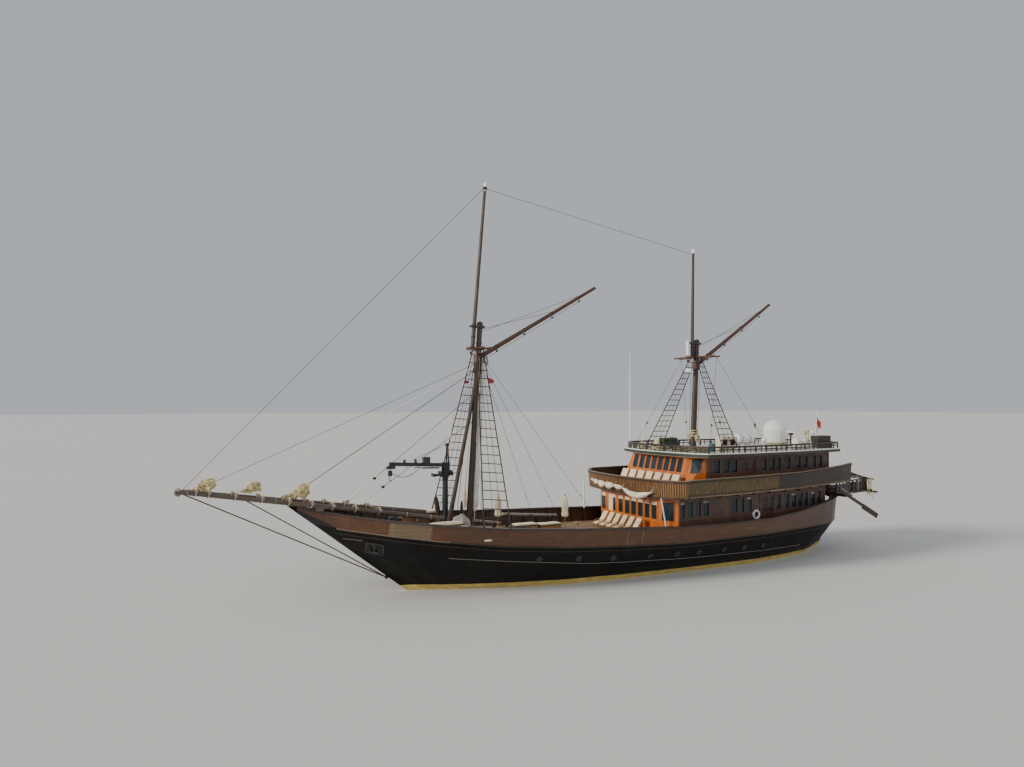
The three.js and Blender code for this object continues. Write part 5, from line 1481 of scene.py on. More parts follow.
class SCHOONER_OT_windows(bpy.types.Operator):
    """Glaze the deckhouses"""
    bl_idname = "schooner.windows"
    bl_label = "Windows"

    def execute(self, context):
        recoat("front", "saloon_front", "wheelhouse_front")
        recoat("cabin", *both("saloon_wall"), *both("cabin_wall"))
        recoat("shaded_cross_planks", "saloon_aft_wall", "cabin_aft_wall")
        for house in (SALOON, UPPER):
            self.side_windows(house)
            self.front_windows(house)
        self.corner_boards()
        return {"FINISHED"}

    def side_windows(self, house):
        windows = Window()
        for number, (aft, fore) in enumerate(SIDE_WINDOWS[house["name"]]):
            x = (aft + fore) / 2
            for side in SIDES.values():
                centre = on_wall(house, x, (house["sill"] + house["head"]) / 2, side)
                blind = 0.16 if house is SALOON and number % 3 == 0 else 0.0
                windows.add(centre, (-side, -WALL_TAPER, 0), Z, fore - aft,
                            house["head"] - house["sill"], 0.055, blind)
        windows.done(f"{house['name']}_side_window", "frame", "grey_canvas")

    def front_windows(self, house):
        windows = Window()
        name, lean = house["name"], house["lean"]
        sill, head = house["pane"]
        height = (head - sill) * math.sqrt(1 + lean * lean)
        middle_z = (head + sill) / 2
        face = house["front"] - lean * (middle_z - WHEELHOUSE_FLOOR)
        blind = 0.2 if house is SALOON else 0.0
        for number, (a, b) in enumerate(FRONT_PANES[name]):
            windows.add((face, (a + b) / 2, middle_z), Y, Vector((-lean, 0, 1)), b - a, height, 0.05,
                        blind, 0.02, 0.6 if blind and number == 1 else 0.0)
        for side in SIDES.values():
            self.canted_window(windows, house, side)
        windows.done(f"{name}_front_window", "front_trim")

    def canted_window(self, windows, house, side):
        """The corner panel's pane, set where the opening is cut in the wall."""
        flip = Matrix.Diagonal((1, side, 1))
        sill, head = house["pane"]
        if house is SALOON:
            across = Vector((CANTED_OUT.y, -CANTED_OUT.x, 0)) * CANTED_HALF
            middle = CANTED_MIDDLE + CANTED_OUT * 1.5
            corners = [touch("saloon_front", flip @ (middle + across * s + Z * z),
                             flip @ -CANTED_OUT)[0]
                       for s, z in ((-1, sill), (1, sill), (1, head), (-1, head))]
        else:
            corners = [self.on_panel(y, sill, side) for y in CANTED_SILL]
            corners += [self.on_panel(y, head, side) for y in reversed(CANTED_HEAD)]
        out = (corners[1] - corners[0]).cross(corners[3] - corners[0]).normalized() * side
        windows.panel(corners, out, 0.06)

    def panel_section(self, z, side):
        """The wheelhouse's corner panel at a height: its aft end, its fold and its front end."""
        corner, front = ((UPPER["corner"], UPPER["half"]), (UPPER["front"], UPPER["front_half"]))
        back = Vector((UPPER["lean"], UPPER["lean"], 0)) * (PANEL_HEAD - PANEL_FOOT)
        low = [Vector((*p, PANEL_FOOT)) for p in (corner, front)]
        high = [Vector((*corner, PANEL_HEAD)), Vector((*front, PANEL_HEAD)) - back]
        t = (z - PANEL_FOOT) / (PANEL_HEAD - PANEL_FOOT)
        fold = low[1].lerp(high[0], t) if side > 0 else low[0].lerp(high[1], t)
        flip = Matrix.Diagonal((1, side, 1))
        return [flip @ p for p in (low[0].lerp(high[0], t), fold, low[1].lerp(high[1], t))]

    def on_panel(self, half, z, side):
        """The point of the wheelhouse's corner panel at a half-breadth and a height."""
        aft, fold, fore = self.panel_section(z, side)
        a, b = (aft, fold) if half > abs(fold.y) else (fold, fore)
        return a.lerp(b, (half - abs(a.y)) / (abs(b.y) - abs(a.y)))

    def corner_boards(self):
        """Varnished facing round the panes of the wheelhouse's corner panels."""
        facing = Piece()
        sill, head = UPPER["pane"]
        for side in SIDES.values():
            quads = []
            for z0, z1 in ((PANEL_FOOT + 0.01, sill), (head, PANEL_HEAD - 0.01)):
                low, high = self.panel_section(z0, side), self.panel_section(z1, side)
                quads += [(low[k], low[k + 1], high[k + 1], high[k]) for k in (0, 1)]
            low, high = self.panel_section(sill, side), self.panel_section(head, side)
            low[1:1] = [self.on_panel(y, sill, side) for y in CANTED_SILL]
            high[1:1] = [self.on_panel(y, head, side) for y in CANTED_HEAD]
            quads += [(low[0], low[1], high[1], high[0]), (low[2], low[4], high[4], high[2])]
            for quad in quads:
                out = (quad[1] - quad[0]).cross(quad[3] - quad[0]).normalized() * side
                facing.plate([p + out * 0.004 for p in quad], out * 0.018)
        facing.done("wheelhouse_corner_boards", "front")


class SCHOONER_OT_doors(bpy.types.Operator):
    """Hang panes, mouldings and handles on the house doors"""
    bl_idname = "schooner.doors"
    bl_label = "Doors"

    def execute(self, context):
        for house in (SALOON, UPPER):
            name = house["name"]
            aft, fore, head = DOORWAYS[name]
            floor_at = deck_top if name == "saloon" else on_upper_deck
            sill = max(floor_at(aft), floor_at(fore)) + 0.08
            width = (fore - aft) / 2 - 0.012
            casing = Piece()
            for side_name, side in SIDES.items():
                along = Vector((1, WALL_TAPER * side, 0)).normalized()
                out = Vector((-WALL_TAPER, side, 0)).normalized()
                for x in (aft - CASING_OFF, fore + CASING_OFF):
                    face = on_wall(house, x, (sill + head) / 2, side)
                    casing.board(face + out * 0.012, Z, out, (head - sill + 0.2, 0.09, 0.05))
                face = on_wall(house, (aft + fore) / 2, head + 0.05, side)
                casing.board(face + out * 0.014, along, out, (fore - aft + 0.3, 0.09, 0.06))
                for which, hinge, turn in (("fore", fore, -1), ("aft", aft, 1)):
                    self.leaf(f"{name}_door_{which}_{side_name}", house, hinge, turn, side, width,
                              sill, head)
                panels = (aft - PANEL_OFF, fore + PANEL_OFF) if house is UPPER else ()
                for x in panels:
                    face = on_wall(house, x, (sill + head) / 2, side)
                    casing.board(face + out * 0.008, Z, out, (head - sill, 0.27, 0.02), 1)
            casing.done(f"{name}_door_casings", ["cabin_trim", "door"], edge=0.008)
        return {"FINISHED"}

    def leaf(self, body, house, hinge, turn, side, width, sill, head):
        recoat("door", body)
        along = Vector((turn, WALL_TAPER * side * turn, 0)).normalized()
        out = Vector((-WALL_TAPER * side, side, 0)).normalized()
        origin = on_wall(house, hinge, 0, side, -WALL / 2)
        low, high = sill + 1.1, head - 0.18
        pane, trim = Piece(), Piece()
        centre = origin + along * width * 0.54 + Z * (low + high) / 2
        pane.board(centre, along, Z, (width * 0.70, 0.012, high - low + 0.02))
        for sign in (-1, 1):
            face = origin + out * sign * 0.027
            for z0, z1 in ((low, high), (sill + 0.16, low - 0.12)):
                for t in (0.19, 0.89):
                    trim.board(face + along * width * t + Z * (z0 + z1) / 2, Z, out,
                               (z1 - z0 + 0.05, 0.03, 0.016))
                for z in (z0, z1):
                    trim.board(face + along * width * 0.54 + Z * z, along, out,
                               (width * 0.72, 0.03, 0.016))
            knob = face + along * width * 0.945 + Z * (sill + 1.0)
            trim.rod(knob, knob + out * sign * 0.035, 0.012, sides=8, paint=1)
            trim.ball(knob + out * sign * 0.045, 0.024, 1, 2)
        pane.done(f"{body}_glass", "glass", body)
        trim.done(f"{body}_mouldings", ["cabin_trim", "bronze"], body)


class SCHOONER_OT_parapet(bpy.types.Operator):
    """Face the upper parapet with staves, mouldings and brackets"""
    bl_idname = "schooner.parapet"
    bl_label = "Parapet"

    def execute(self, context):
        recoat("parapet", *both("upper_parapet"))
        staves, boards, rails, beams = Piece(), Piece(), Piece(), Piece()
        line = round_bow(PARAPET_LINE)
        for number, (point, way) in enumerate(walk(line, sizes().stave)):
            if point.x < STAVES_END:
                continue
            out = Vector((-way.y, way.x, 0))
            foot = Vector((point.x, point.y, parapet_foot(point.x) + 0.1)) + out * 0.012
            head = Vector((point.x, point.y, parapet_top(point.x) - 0.12)) + out * (0.012 + FLARE)
            wide = 0.075 if number % 2 else 0.09
            (boards if point.x > 0.5 else staves).beam(foot, head, 0.028, wide, way)
        mouldings = (
            # edge, height over it, width, depth, how far out, finish
            (parapet_top, 0.02, 0.20, 0.06, FLARE - 0.03, 1),
            (parapet_top, -0.11, 0.05, 0.07, FLARE + 0.015, 0),
            (parapet_foot, 0.05, 0.05, 0.10, 0.02, 0),
        )
        for edge, lift, width, depth, shift, finish in mouldings:
            for *ends, way, out in spans(line):
                a, b = (Vector((x, y, edge(x) + lift)) + out * shift for x, y in ends)
                rails.beam(a - way * 0.02, b + way * 0.02, width, depth, paint=finish)
        for x in (-12.8, -11.4, -9.9, -8.4, -6.9, -5.4, -3.9, -2.4, -0.9):
            for side in SIDES.values():
                reach = reading(UPPER_EDGE, x) - 0.12
                z = under_upper_deck(x) - 0.07
                beams.beam(on_wall(SALOON, x, z, side), (x, reach * side, z), 0.10, 0.12)
        staves.done("parapet_staves", "stave", edge=0.006)
        boards.done("parapet_front_boards", "front_board", edge=0.006)
        rails.done("parapet_rails", ["trim", "worn_trim"], edge=0.014)
        beams.done("deck_beam_ends", "trim", slot="cabin_brown", edge=0.01)
        return {"FINISHED"}


class SCHOONER_OT_houses(bpy.types.Operator):
    """Add the house mouldings, the roof's edge and rail, and the life rings"""
    bl_idname = "schooner.houses"
    bl_label = "House trim"

    def execute(self, context):
        recoat("roof", "roof")
        recoat("trim", "roof_rail")
        self.mouldings()
        self.roof_edge()
        self.roof_rail()
        self.life_rings()
        return {"FINISHED"}

    def mouldings(self):
        trim, varnish = Piece(), Piece()
        for house, floor_at, ceiling_at in ((SALOON, deck_top, under_upper_deck),
                                            (UPPER, on_upper_deck, under_roof)):
            aft, corner = house["aft"], house["corner"] - 0.11
            doorway = DOORWAYS[house["name"]]
            breaks = [aft, doorway[0] - MOULDING_OFF, doorway[1] + MOULDING_OFF, corner]
            for side in SIDES.values():
                for x0, x1 in (breaks[:2], breaks[2:]):
                    for z, tall, out in ((house["sill"] - 0.14, 0.06, 0.03),
                                         (house["head"] + 0.13, 0.05, 0.025)):
                        trim.beam(*(on_wall(house, x, z, side, out / 2) for x in (x0, x1)), out, tall)
                for x in (aft + 0.05, corner - 0.04):
                    face = wall_face(house, x) * side
                    trim.block((x - 0.05, face - 0.02, floor_at(x)), (x + 0.05, face + 0.03 * side,
                                                                     ceiling_at(x)))
                trim.beam(*(on_wall(house, x, floor_at(x) + 0.05, side, 0.015) for x in breaks[:2]),
                          0.03, 0.1)
        for house, z, sunk in ((SALOON, 3.33, 0), (SALOON, 4.76, 0), (UPPER, 6.2, 0.01),
                               (UPPER, 7.35, 0.01)):
            back = house["lean"] * (z - WHEELHOUSE_FLOOR)
            x, half = house["front"] - back, house["front_half"] - back
            varnish.block((x - sunk, -half, z), (x + 0.035, half, z + 0.05))
        trim.done("house_mouldings", "cabin_trim", edge=0.006)
        varnish.done("front_mouldings", "front_trim", edge=0.008)

    def roof_edge(self):
        edge = Piece()
        line = round_bow(ROOF_EDGE)
        for (x0, y0), (x1, y1), _, out in spans(line, closed=True):
            # The lower band: the green groove at the front, and dark trim along the sides and aft as
            # painted shade under the roof's overhang.
            below = 1 if max(x0, x1) > -1.6 else 2
            for z, tall, proud, finish in ((ROOF_TOP - 0.015, 0.06, 0.06, 0),
                                           (ROOF_TOP - 0.145, 0.20, 0.02, below)):
                a, b = Vector((x0, y0, z)), Vector((x1, y1, z))
                edge.beam(a + out * proud / 2, b + out * proud / 2, proud, tall, paint=finish)
        edge.done("roof_edge", ["white", "green", "trim"], slot="roof_grey", edge=0.008)

    def roof_rail(self):
        """The rail's second bar and the posts between its main posts."""
        bars = Piece()
        line = round_bow([(x - (0.25 if i > 2 else 0), half - (0.22 if i <= 4 else 0))
                          for i, (x, half) in enumerate(ROOF_EDGE)])
        for (x0, y0), (x1, y1), _, _ in spans(line, closed=True):
            for z, wide, tall in ((ROOF_TOP + 0.21, 0.05, 0.07), (ROOF_TOP + 0.40, 0.13, 0.12)):
                bars.beam((x0, y0, z), (x1, y1, z), wide, tall)
        for point, _ in walk(line + line[:1], 0.5):
            bars.pillar(point.x, point.y, 0.025, 0.025, ROOF_TOP, ROOF_TOP + 0.4)
        bars.done("roof_rail_bars", "trim", edge=0.006)

    def life_rings(self):
        rings = Piece()
        radius = 0.26
        for side in SIDES.values():
            spot = on_wall(SALOON, -6.6, 3.41, side, 0.08)
            rings.ring(spot, Y * side, radius, 0.075, 30, 12)
            for k in range(4):
                angle = math.radians(45 + 90 * k)
                way = Vector((math.cos(angle), 0, math.sin(angle)))
                rings.ring(spot + way * radius, way.cross(Y), 0.08, 0.012, 14, 6, 1)
        rings.done("life_rings", ["white", "red_cloth"])


# Roof, balconies, crane and stern

class SCHOONER_OT_roof_gear(bpy.types.Operator):
    """Detail the domes, rafts, air units, aerials and boxes on the roof"""
    bl_idname = "schooner.roof_gear"
    bl_label = "Roof gear"

    def execute(self, context):
        recoat("white", "radome", "sat_domes", "liferafts", "radar_bar")
        recoat("cream", "air_unit_fore", "air_unit_aft")
        recoat("trim", "radar_post")
        self.domes()
        self.air_units()
        self.aerials()
        self.boxes()
        return {"FINISHED"}

    def domes(self):
        trim = Piece()
        for x, y, radius, joint in ((-12.4, 0.0, 0.84, 1.21), (-13.5, 1.0, 0.41, 0.28),
                                    (-14.4, 1.0, 0.41, 0.28)):
            trim.ring((x, y, ROOF_TOP + joint), Z, radius * 1.003, 0.012, 40, 6)
            trim.ring((x, y, ROOF_TOP + 0.05), Z, radius * 0.88, 0.03, 36, 8)
        skirt = Piece()
        skirt.lathe([(0.80, 0.02), (0.865, 0.03), (0.865, 0.30), (0.80, 0.33)], (-12.4, 0, ROOF_TOP),
                    Z, 40)
        skirt.done("radome_skirt", "screen", slot="roof_grey")
        straps = Piece()
        for y in (2.27, 2.98):
            for x in (-7.0, -6.75, -6.51, -6.27, -6.02):
                trim.ring((x, y, ROOF_TOP + 0.8), X, 0.314, 0.014, 28, 6)
            for x in (-6.88, -6.14):
                straps.ring((x, y, ROOF_TOP + 0.8), X, 0.314, 0.018, 28, 6)
            for x, way in ((-7.2, -1), (-5.82, 1)):
                trim.lathe([(0, 0.06), (0.16, 0.05), (0.26, 0.02), (0.3, -0.01), (0, -0.01)],
                           (x, y, ROOF_TOP + 0.8), X * way, 24)
        trim.done("dome_seams", "white")
        straps.done("raft_straps", "black", slot="rail_dark")

    def air_units(self):
        grilles = Piece()
        face = 3.1
        for x in (-4.71, -5.38):
            centre = Vector((x, face, ROOF_TOP + 0.62))
            grilles.block(centre + Vector((-0.2, 0.003, -0.2)), centre + Vector((0.2, 0.02, 0.2)))
            for k in range(4):
                grilles.ring(centre + Y * 0.035, Y, 0.06 + 0.045 * k, 0.006, 28, 6)
            for k in range(4):
                angle = math.radians(45 * k)
                arm = Vector((math.cos(angle), 0, math.sin(angle))) * 0.21
                grilles.beam(centre - arm + Y * 0.03, centre + arm + Y * 0.03, 0.012, 0.03, Y)
            for z in (0.14, 0.2, 0.26):
                grilles.block((x - 0.22, face, ROOF_TOP + z),
                              (x + 0.22, face + 0.006, ROOF_TOP + z + 0.02))
        grilles.done("fan_grilles", "black", slot="steel_dark")

    def aerials(self):
        white, dark = Piece(), Piece()
        white.lathe([(0, 0), (0.10, 0), (0.09, 0.15), (0.055, 0.35), (0.045, 2.5), (0.02, 7.0), (0, 7.02)],
                    (-2.2, -4.38, ROOF_TOP + 0.01), Z, 10)
        white.rod((-2.5, -3.4, ROOF_TOP), (-3.1, -3.9, ROOF_TOP + 1.9), 0.02, 0.012, 8)
        for x, y, tall in ((-11.0, 2.6, 0.9), (-10.6, -2.6, 1.1), (-13.9, 1.9, 1.2)):
            dark.post(x, y, ROOF_TOP, ROOF_TOP + tall, 0.02, 0.012, 8)
            dark.ball((x, y, ROOF_TOP + tall), 0.05, detail=2)
        white.rod((-13.9, 2.0, ROOF_TOP), (-14.15, 2.0, ROOF_TOP + 0.95), 0.04, sides=10)
        white.ball((-14.2, 2.0, ROOF_TOP + 1.1), (0.14, 0.14, 0.17))
        white.post(-9.84, 1.5, ROOF_TOP, ROOF_TOP + 0.5, 0.05, sides=10)
        white.ball((-9.84, 1.5, ROOF_TOP + 0.61), (0.2, 0.2, 0.19))
        lamp = Piece()
        lamp.rod((-14.2, 1.55, ROOF_TOP), (-13.97, 1.55, ROOF_TOP + 0.98), 0.04, sides=8)
        lamp.ball((-13.95, 1.55, ROOF_TOP + 1.1), (0.15, 0.15, 0.19))
        lamp.done("yellow_lamp", "yellow_rope", slot="white_gel")
        white.post(-4.1, 0, 14.41, 15.41, 0.12, sides=18)
        white.post(-4.2, 0, 13.2, 13.42, 0.27, sides=22)
        white.block((-4.62, -0.05, 13.15), (-4.1, 0.05, 13.2))
        white.done("white_aerials", "white")
        dark.done("dark_aerials", "steel")

    def boxes(self):
        gear = Piece()
        for x0, x1, y0, y1, z0, z1, finish in (
                # planter, locker and its lid, case, low table and its top
                (-4.25, -2.85, -1.9, -1.2, 0, 0.52, 0), (-14.72, -13.5, 2.55, 3.16, 0, 0.45, 0),
                (-14.76, -13.45, 2.5, 3.2, 0.45, 0.90, 1), (-15.05, -14.8, 2.6, 3.1, 0, 0.48, 1),
                (-9.8, -8.5, -2.2, -1.2, 0, 0.35, 1), (-9.9, -8.4, -2.3, -1.1, 0.35, 0.40, 1)):
            gear.block((x0, y0, ROOF_TOP + z0), (x1, y1, ROOF_TOP + z1), finish)
        gear.done("roof_boxes", ["green", "trim"], slot="rail_dark", edge=0.015)
        leaves = Piece()
        for k in range(5):
            x = lerp(-4.1, -3.0, k / 4)
            bush = leaves.ball((x, -1.55, ROOF_TOP + 0.62), (0.17, 0.24, 0.17), detail=3)
            leaves.rumple(bush, 0.16, 9.0, k)
        leaves.done("planter_leaves", "leaf", subdivide=1)
        drum = Piece()
        sack = drum.hose([(-2.55, -1.6, ROOF_TOP + h) for h in (0.005, 0.1, 0.35, 0.6, 0.7)],
                         [0.16, 0.24, 0.25, 0.22, 0.08], 18)
        drum.rumple(sack, 0.04, 5.0)
        drum.stuffed("line_sack", "pale_rope", 0.8, slot="canvas", subdivide=1)
        keg = Piece()
        keg.lathe([(0, 0), (0.2, 0), (0.23, 0.1), (0.23, 0.5), (0.19, 0.58), (0, 0.6)],
                  (-3.66, 3.0, ROOF_TOP), Z, 24)
        keg.done("roof_keg", "teal", edge=0.01)
        rolls = (
            # from and to as x and y, radius, finish
            ((-12.55, 3.48), (-10.25, 3.48), 0.125, "awning"),
            ((-10.05, 3.65), (-7.75, 3.65), 0.125, "awning"),
            ((-1.55, -2.7), (-1.3, -0.9), 0.19, "screen"),
            ((-1.27, -0.6), (-1.37, 1.3), 0.20, "screen"),
            ((-1.45, 1.6), (-1.85, 3.2), 0.19, "screen"),
            ((-1.95, 3.4), (-2.4, 4.2), 0.17, "screen"),
        )
        for number, (near, far, radius, finish) in enumerate(rolls):
            roll = Piece()
            path = [(*spot, ROOF_TOP + radius + 0.01)
                    for spot in between(Vector(near), Vector(far), 16)]
            shape = [radius * (0.4 + 0.6 * math.sin(math.pi * (k / 16)) ** 0.4) for k in range(17)]
            roll.rumple(roll.hose(path, shape, 16), 0.05, 4.0, number * 5.0)
            roll.stuffed(f"rolled_screen_{number + 1}", finish, 0.5, subdivide=1)


class SCHOONER_OT_balconies(bpy.types.Operator):
    """Furnish the front balcony and hang the furled awning and its pole in front"""
    bl_idname = "schooner.balconies"
    bl_label = "Balconies and awning"

    def execute(self, context):
        self.loungers()
        self.awning()
        self.pole()
        return {"FINISHED"}

    def loungers(self):
        frames = Piece()
        for number, y in enumerate((-2.75, -1.8, -0.85, 0.1, 1.05, 2.0, 2.95)):
            x = -0.18
            z = on_upper_deck(x)
            seat, head = z + 0.36, Vector((x - 0.62, y, z + 1.02))
            frames.block((x - 0.45, y - 0.36, seat - 0.07), (x + 0.95, y + 0.36, seat))
            for dx in (-0.38, 0.85):
                for s in (-0.3, 0.3):
                    frames.pillar(x + dx, y + s, 0.03, 0.03, z + 0.002, seat - 0.06)
            knee = Vector((x - 0.32, y, seat))
            for s in (-0.34, 0.34):
                frames.beam(knee + Y * s, head + Y * s, 0.04, 0.06, X)
            pads = Piece()
            pads.pillow((x + 0.33, y, seat + 0.09), X, Z, (1.26, 0.7, 0.17))
            out = (head - knee).normalized().cross(Y) * -1
            pads.pillow((knee + head) / 2 + out * 0.12, head - knee, out,
                        ((head - knee).length + 0.08, 0.7, 0.17))
            pads.stuffed(f"lounger_pads_{number + 1}", "cushion", 0.8, subdivide=1)
        frames.done("lounger_frames", "bench", edge=0.01)

    def awning(self):
        """The awning tied up in swags along the front of the parapet."""
        swags = [
            # start y, end y, height, radius, how low it hangs
            (-3.5, -2.9, 5.56, 0.10, 0.02), (-2.9, -2.1, 5.54, 0.17, 0.04),
            (-2.1, -1.1, 5.50, 0.23, 0.08), (-1.1, -0.1, 5.46, 0.22, 0.06),
            (-0.1, 0.9, 5.44, 0.16, 0.05), (0.9, 3.6, 5.36, 0.20, 0.36),
        ]
        edge = round_bow(UPPER_EDGE)
        front = sorted((y, x) for x, y in edge if x > 0.9)

        def hung_at(y, radius):
            return reading(front, y) + 0.14 + radius * 0.6

        roll = Piece()
        for number, (y0, y1, z, radius, sag) in enumerate(swags):
            path, radii = [], []
            for k in range(15):
                t = k / 14
                y = lerp(y0, y1, t)
                path.append((hung_at(y, radius), y, z - sag * math.sin(math.pi * t) - 0.06 * t))
                radii.append(max(0.05, radius * math.sin(math.pi * t) ** 0.55))
            verts = roll.hose(path, radii, 18)
            roll.rumple(verts, radius * 0.35, 4.5, number * 5.0)
        roll.stuffed("furled_awning", "awning", 0.4, subdivide=1)
        ties = Piece()
        for y0, y1, z, radius, _ in swags:
            for y in (y0, y1):
                x = hung_at(y, radius)
                ties.ring((x, y, z - 0.03), Y, 0.085, 0.02, 16, 6)
                ties.rod((x + 0.02, y, z + 0.02), (reading(front, y) + 0.05, y, 5.68), 0.014, sides=6)
        ties.done("awning_ties", "pale_rope")

    def pole(self):
        piece = Piece()
        piece.rod((1.46, 4.07, 4.97), (0.78, 3.9, deck_top(0.75)), 0.05, 0.055, 12)
        piece.done("awning_pole", "floor_grey")


# The crane's axis and the height of its boom's pin
CRANE, CRANE_PIN = (14.1, -1.0), 7.15


class SCHOONER_OT_crane(bpy.types.Operator):
    """Detail the foredeck crane"""
    bl_idname = "schooner.crane"
    bl_label = "Crane"

    def execute(self, context):
        recoat("steel", "crane_pedestal", "crane_head", "crane_boom")
        self.fixed_fittings()
        self.head_fittings()
        self.boom_fittings()
        self.tie_wire()
        return {"FINISHED"}

    def fixed_fittings(self):
        fixed = Piece()
        x, y = CRANE
        foot = deck_top(x)
        for angle in circle(8):
            spot = Vector((x + 0.28 * math.cos(angle), y + 0.28 * math.sin(angle), foot + 0.12))
            fixed.rod(spot, spot + Z * 0.05, 0.025, sides=6)
        fixed.ring((x, y, 6.3), Z, 0.18, 0.03, 24)
        for k in range(3):
            fixed.ring((x, y, 4.0 + 0.8 * k), Z, 0.195 - 0.008 * k, 0.015, 24)
        fixed.done("crane_bolts", "steel")

    def head_fittings(self):
        head = Piece()
        x, y = CRANE
        head.ring((x, y, 6.45), Z, 0.245, 0.025, 24)
        head.block((x - 0.48, y - 0.16, 6.5), (x - 0.24, y + 0.16, 6.72))
        head.rod((x - 0.36, y - 0.1, 6.74), (x - 0.36, y + 0.1, 6.74), 0.09, sides=16)
        for s in (-1, 1):
            head.rod((x, y + s * 0.21, CRANE_PIN), (x, y + s * 0.26, CRANE_PIN), 0.075, sides=14)
        pulley(head, Vector((x - 0.12, y, 8.4)), 0.07)
        for dy in (-0.3, 0.2):
            head.block((x - 0.1, y + dy, 6.5), (x + 0.81, y + dy + 0.1, 6.6))
        for dx, top in ((0.3, 6.78), (0.75, 6.66)):
            head.block((x + dx, y - 0.3, 6.46), (x + dx + 0.06, y + 0.3, top))
        head.done("crane_head_fittings", "steel", "crane_head")

    def boom_fittings(self):
        """The boom's boxes, its cylinder, the hose under it and the hook."""
        boom = Piece()
        x, y = CRANE
        for dx in (1.91, 2.61):
            boom.block((x + dx, y - 0.13, CRANE_PIN + 0.12), (x + dx + 0.08, y + 0.13, CRANE_PIN + 0.42))
        boom.rod((x + 0.4, y, CRANE_PIN - 0.16), (x + 1.5, y, CRANE_PIN - 0.13), 0.045, sides=12)
        boom.rod((x + 1.4, y, CRANE_PIN - 0.13), (x + 2.0, y, CRANE_PIN - 0.09), 0.028, sides=12)
        for k in range(4):
            boom.ring((x + 0.9 + 0.8 * k, y, CRANE_PIN + 0.035 * k), X, 0.155, 0.012, 12, 6)
        tip = Vector((x + 3.55, y, 7.33))
        pulley(boom, tip - Z * 0.12, 0.11)
        boom.block((tip.x - 0.3, y - 0.1, tip.z - 0.3), (tip.x + 0.22, y + 0.1, tip.z - 0.14))
        boom.hose([Vector((tip.x - 1.75 + 1.7 * t, y + 0.1, 6.95 - 0.35 * math.sin(math.pi * t)
                           - 0.15 * t)) for t in [k / 14 for k in range(15)]], 0.02, 6)
        hook = ((0.0, -0.72), (0.02, -0.84), (0.08, -0.93), (0.02, -1.02), (-0.07, -0.96))
        boom.hose([tip + Vector((dx, 0, dz)) for dx, dz in hook], 0.025, 8)
        boom.done("crane_boom_fittings", "steel", "crane_boom")

    def tie_wire(self):
        """The wire from the head to the boom."""
        x, y = CRANE
        a, b = Vector((x - 0.05, y, 8.42)), Vector((x + 2.14, y, 7.5))
        tie = Piece()
        tie.hose(between(a, b, 14), 0.014, 6)
        piece = tie.done("crane_tie", "rope", body=None)
        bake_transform(piece)


GALLERY_LINE = [(-15.3, 3.2), (-18.2, 2.22), (-20.2, 1.8)]
GALLERY_FLOOR = 4.24


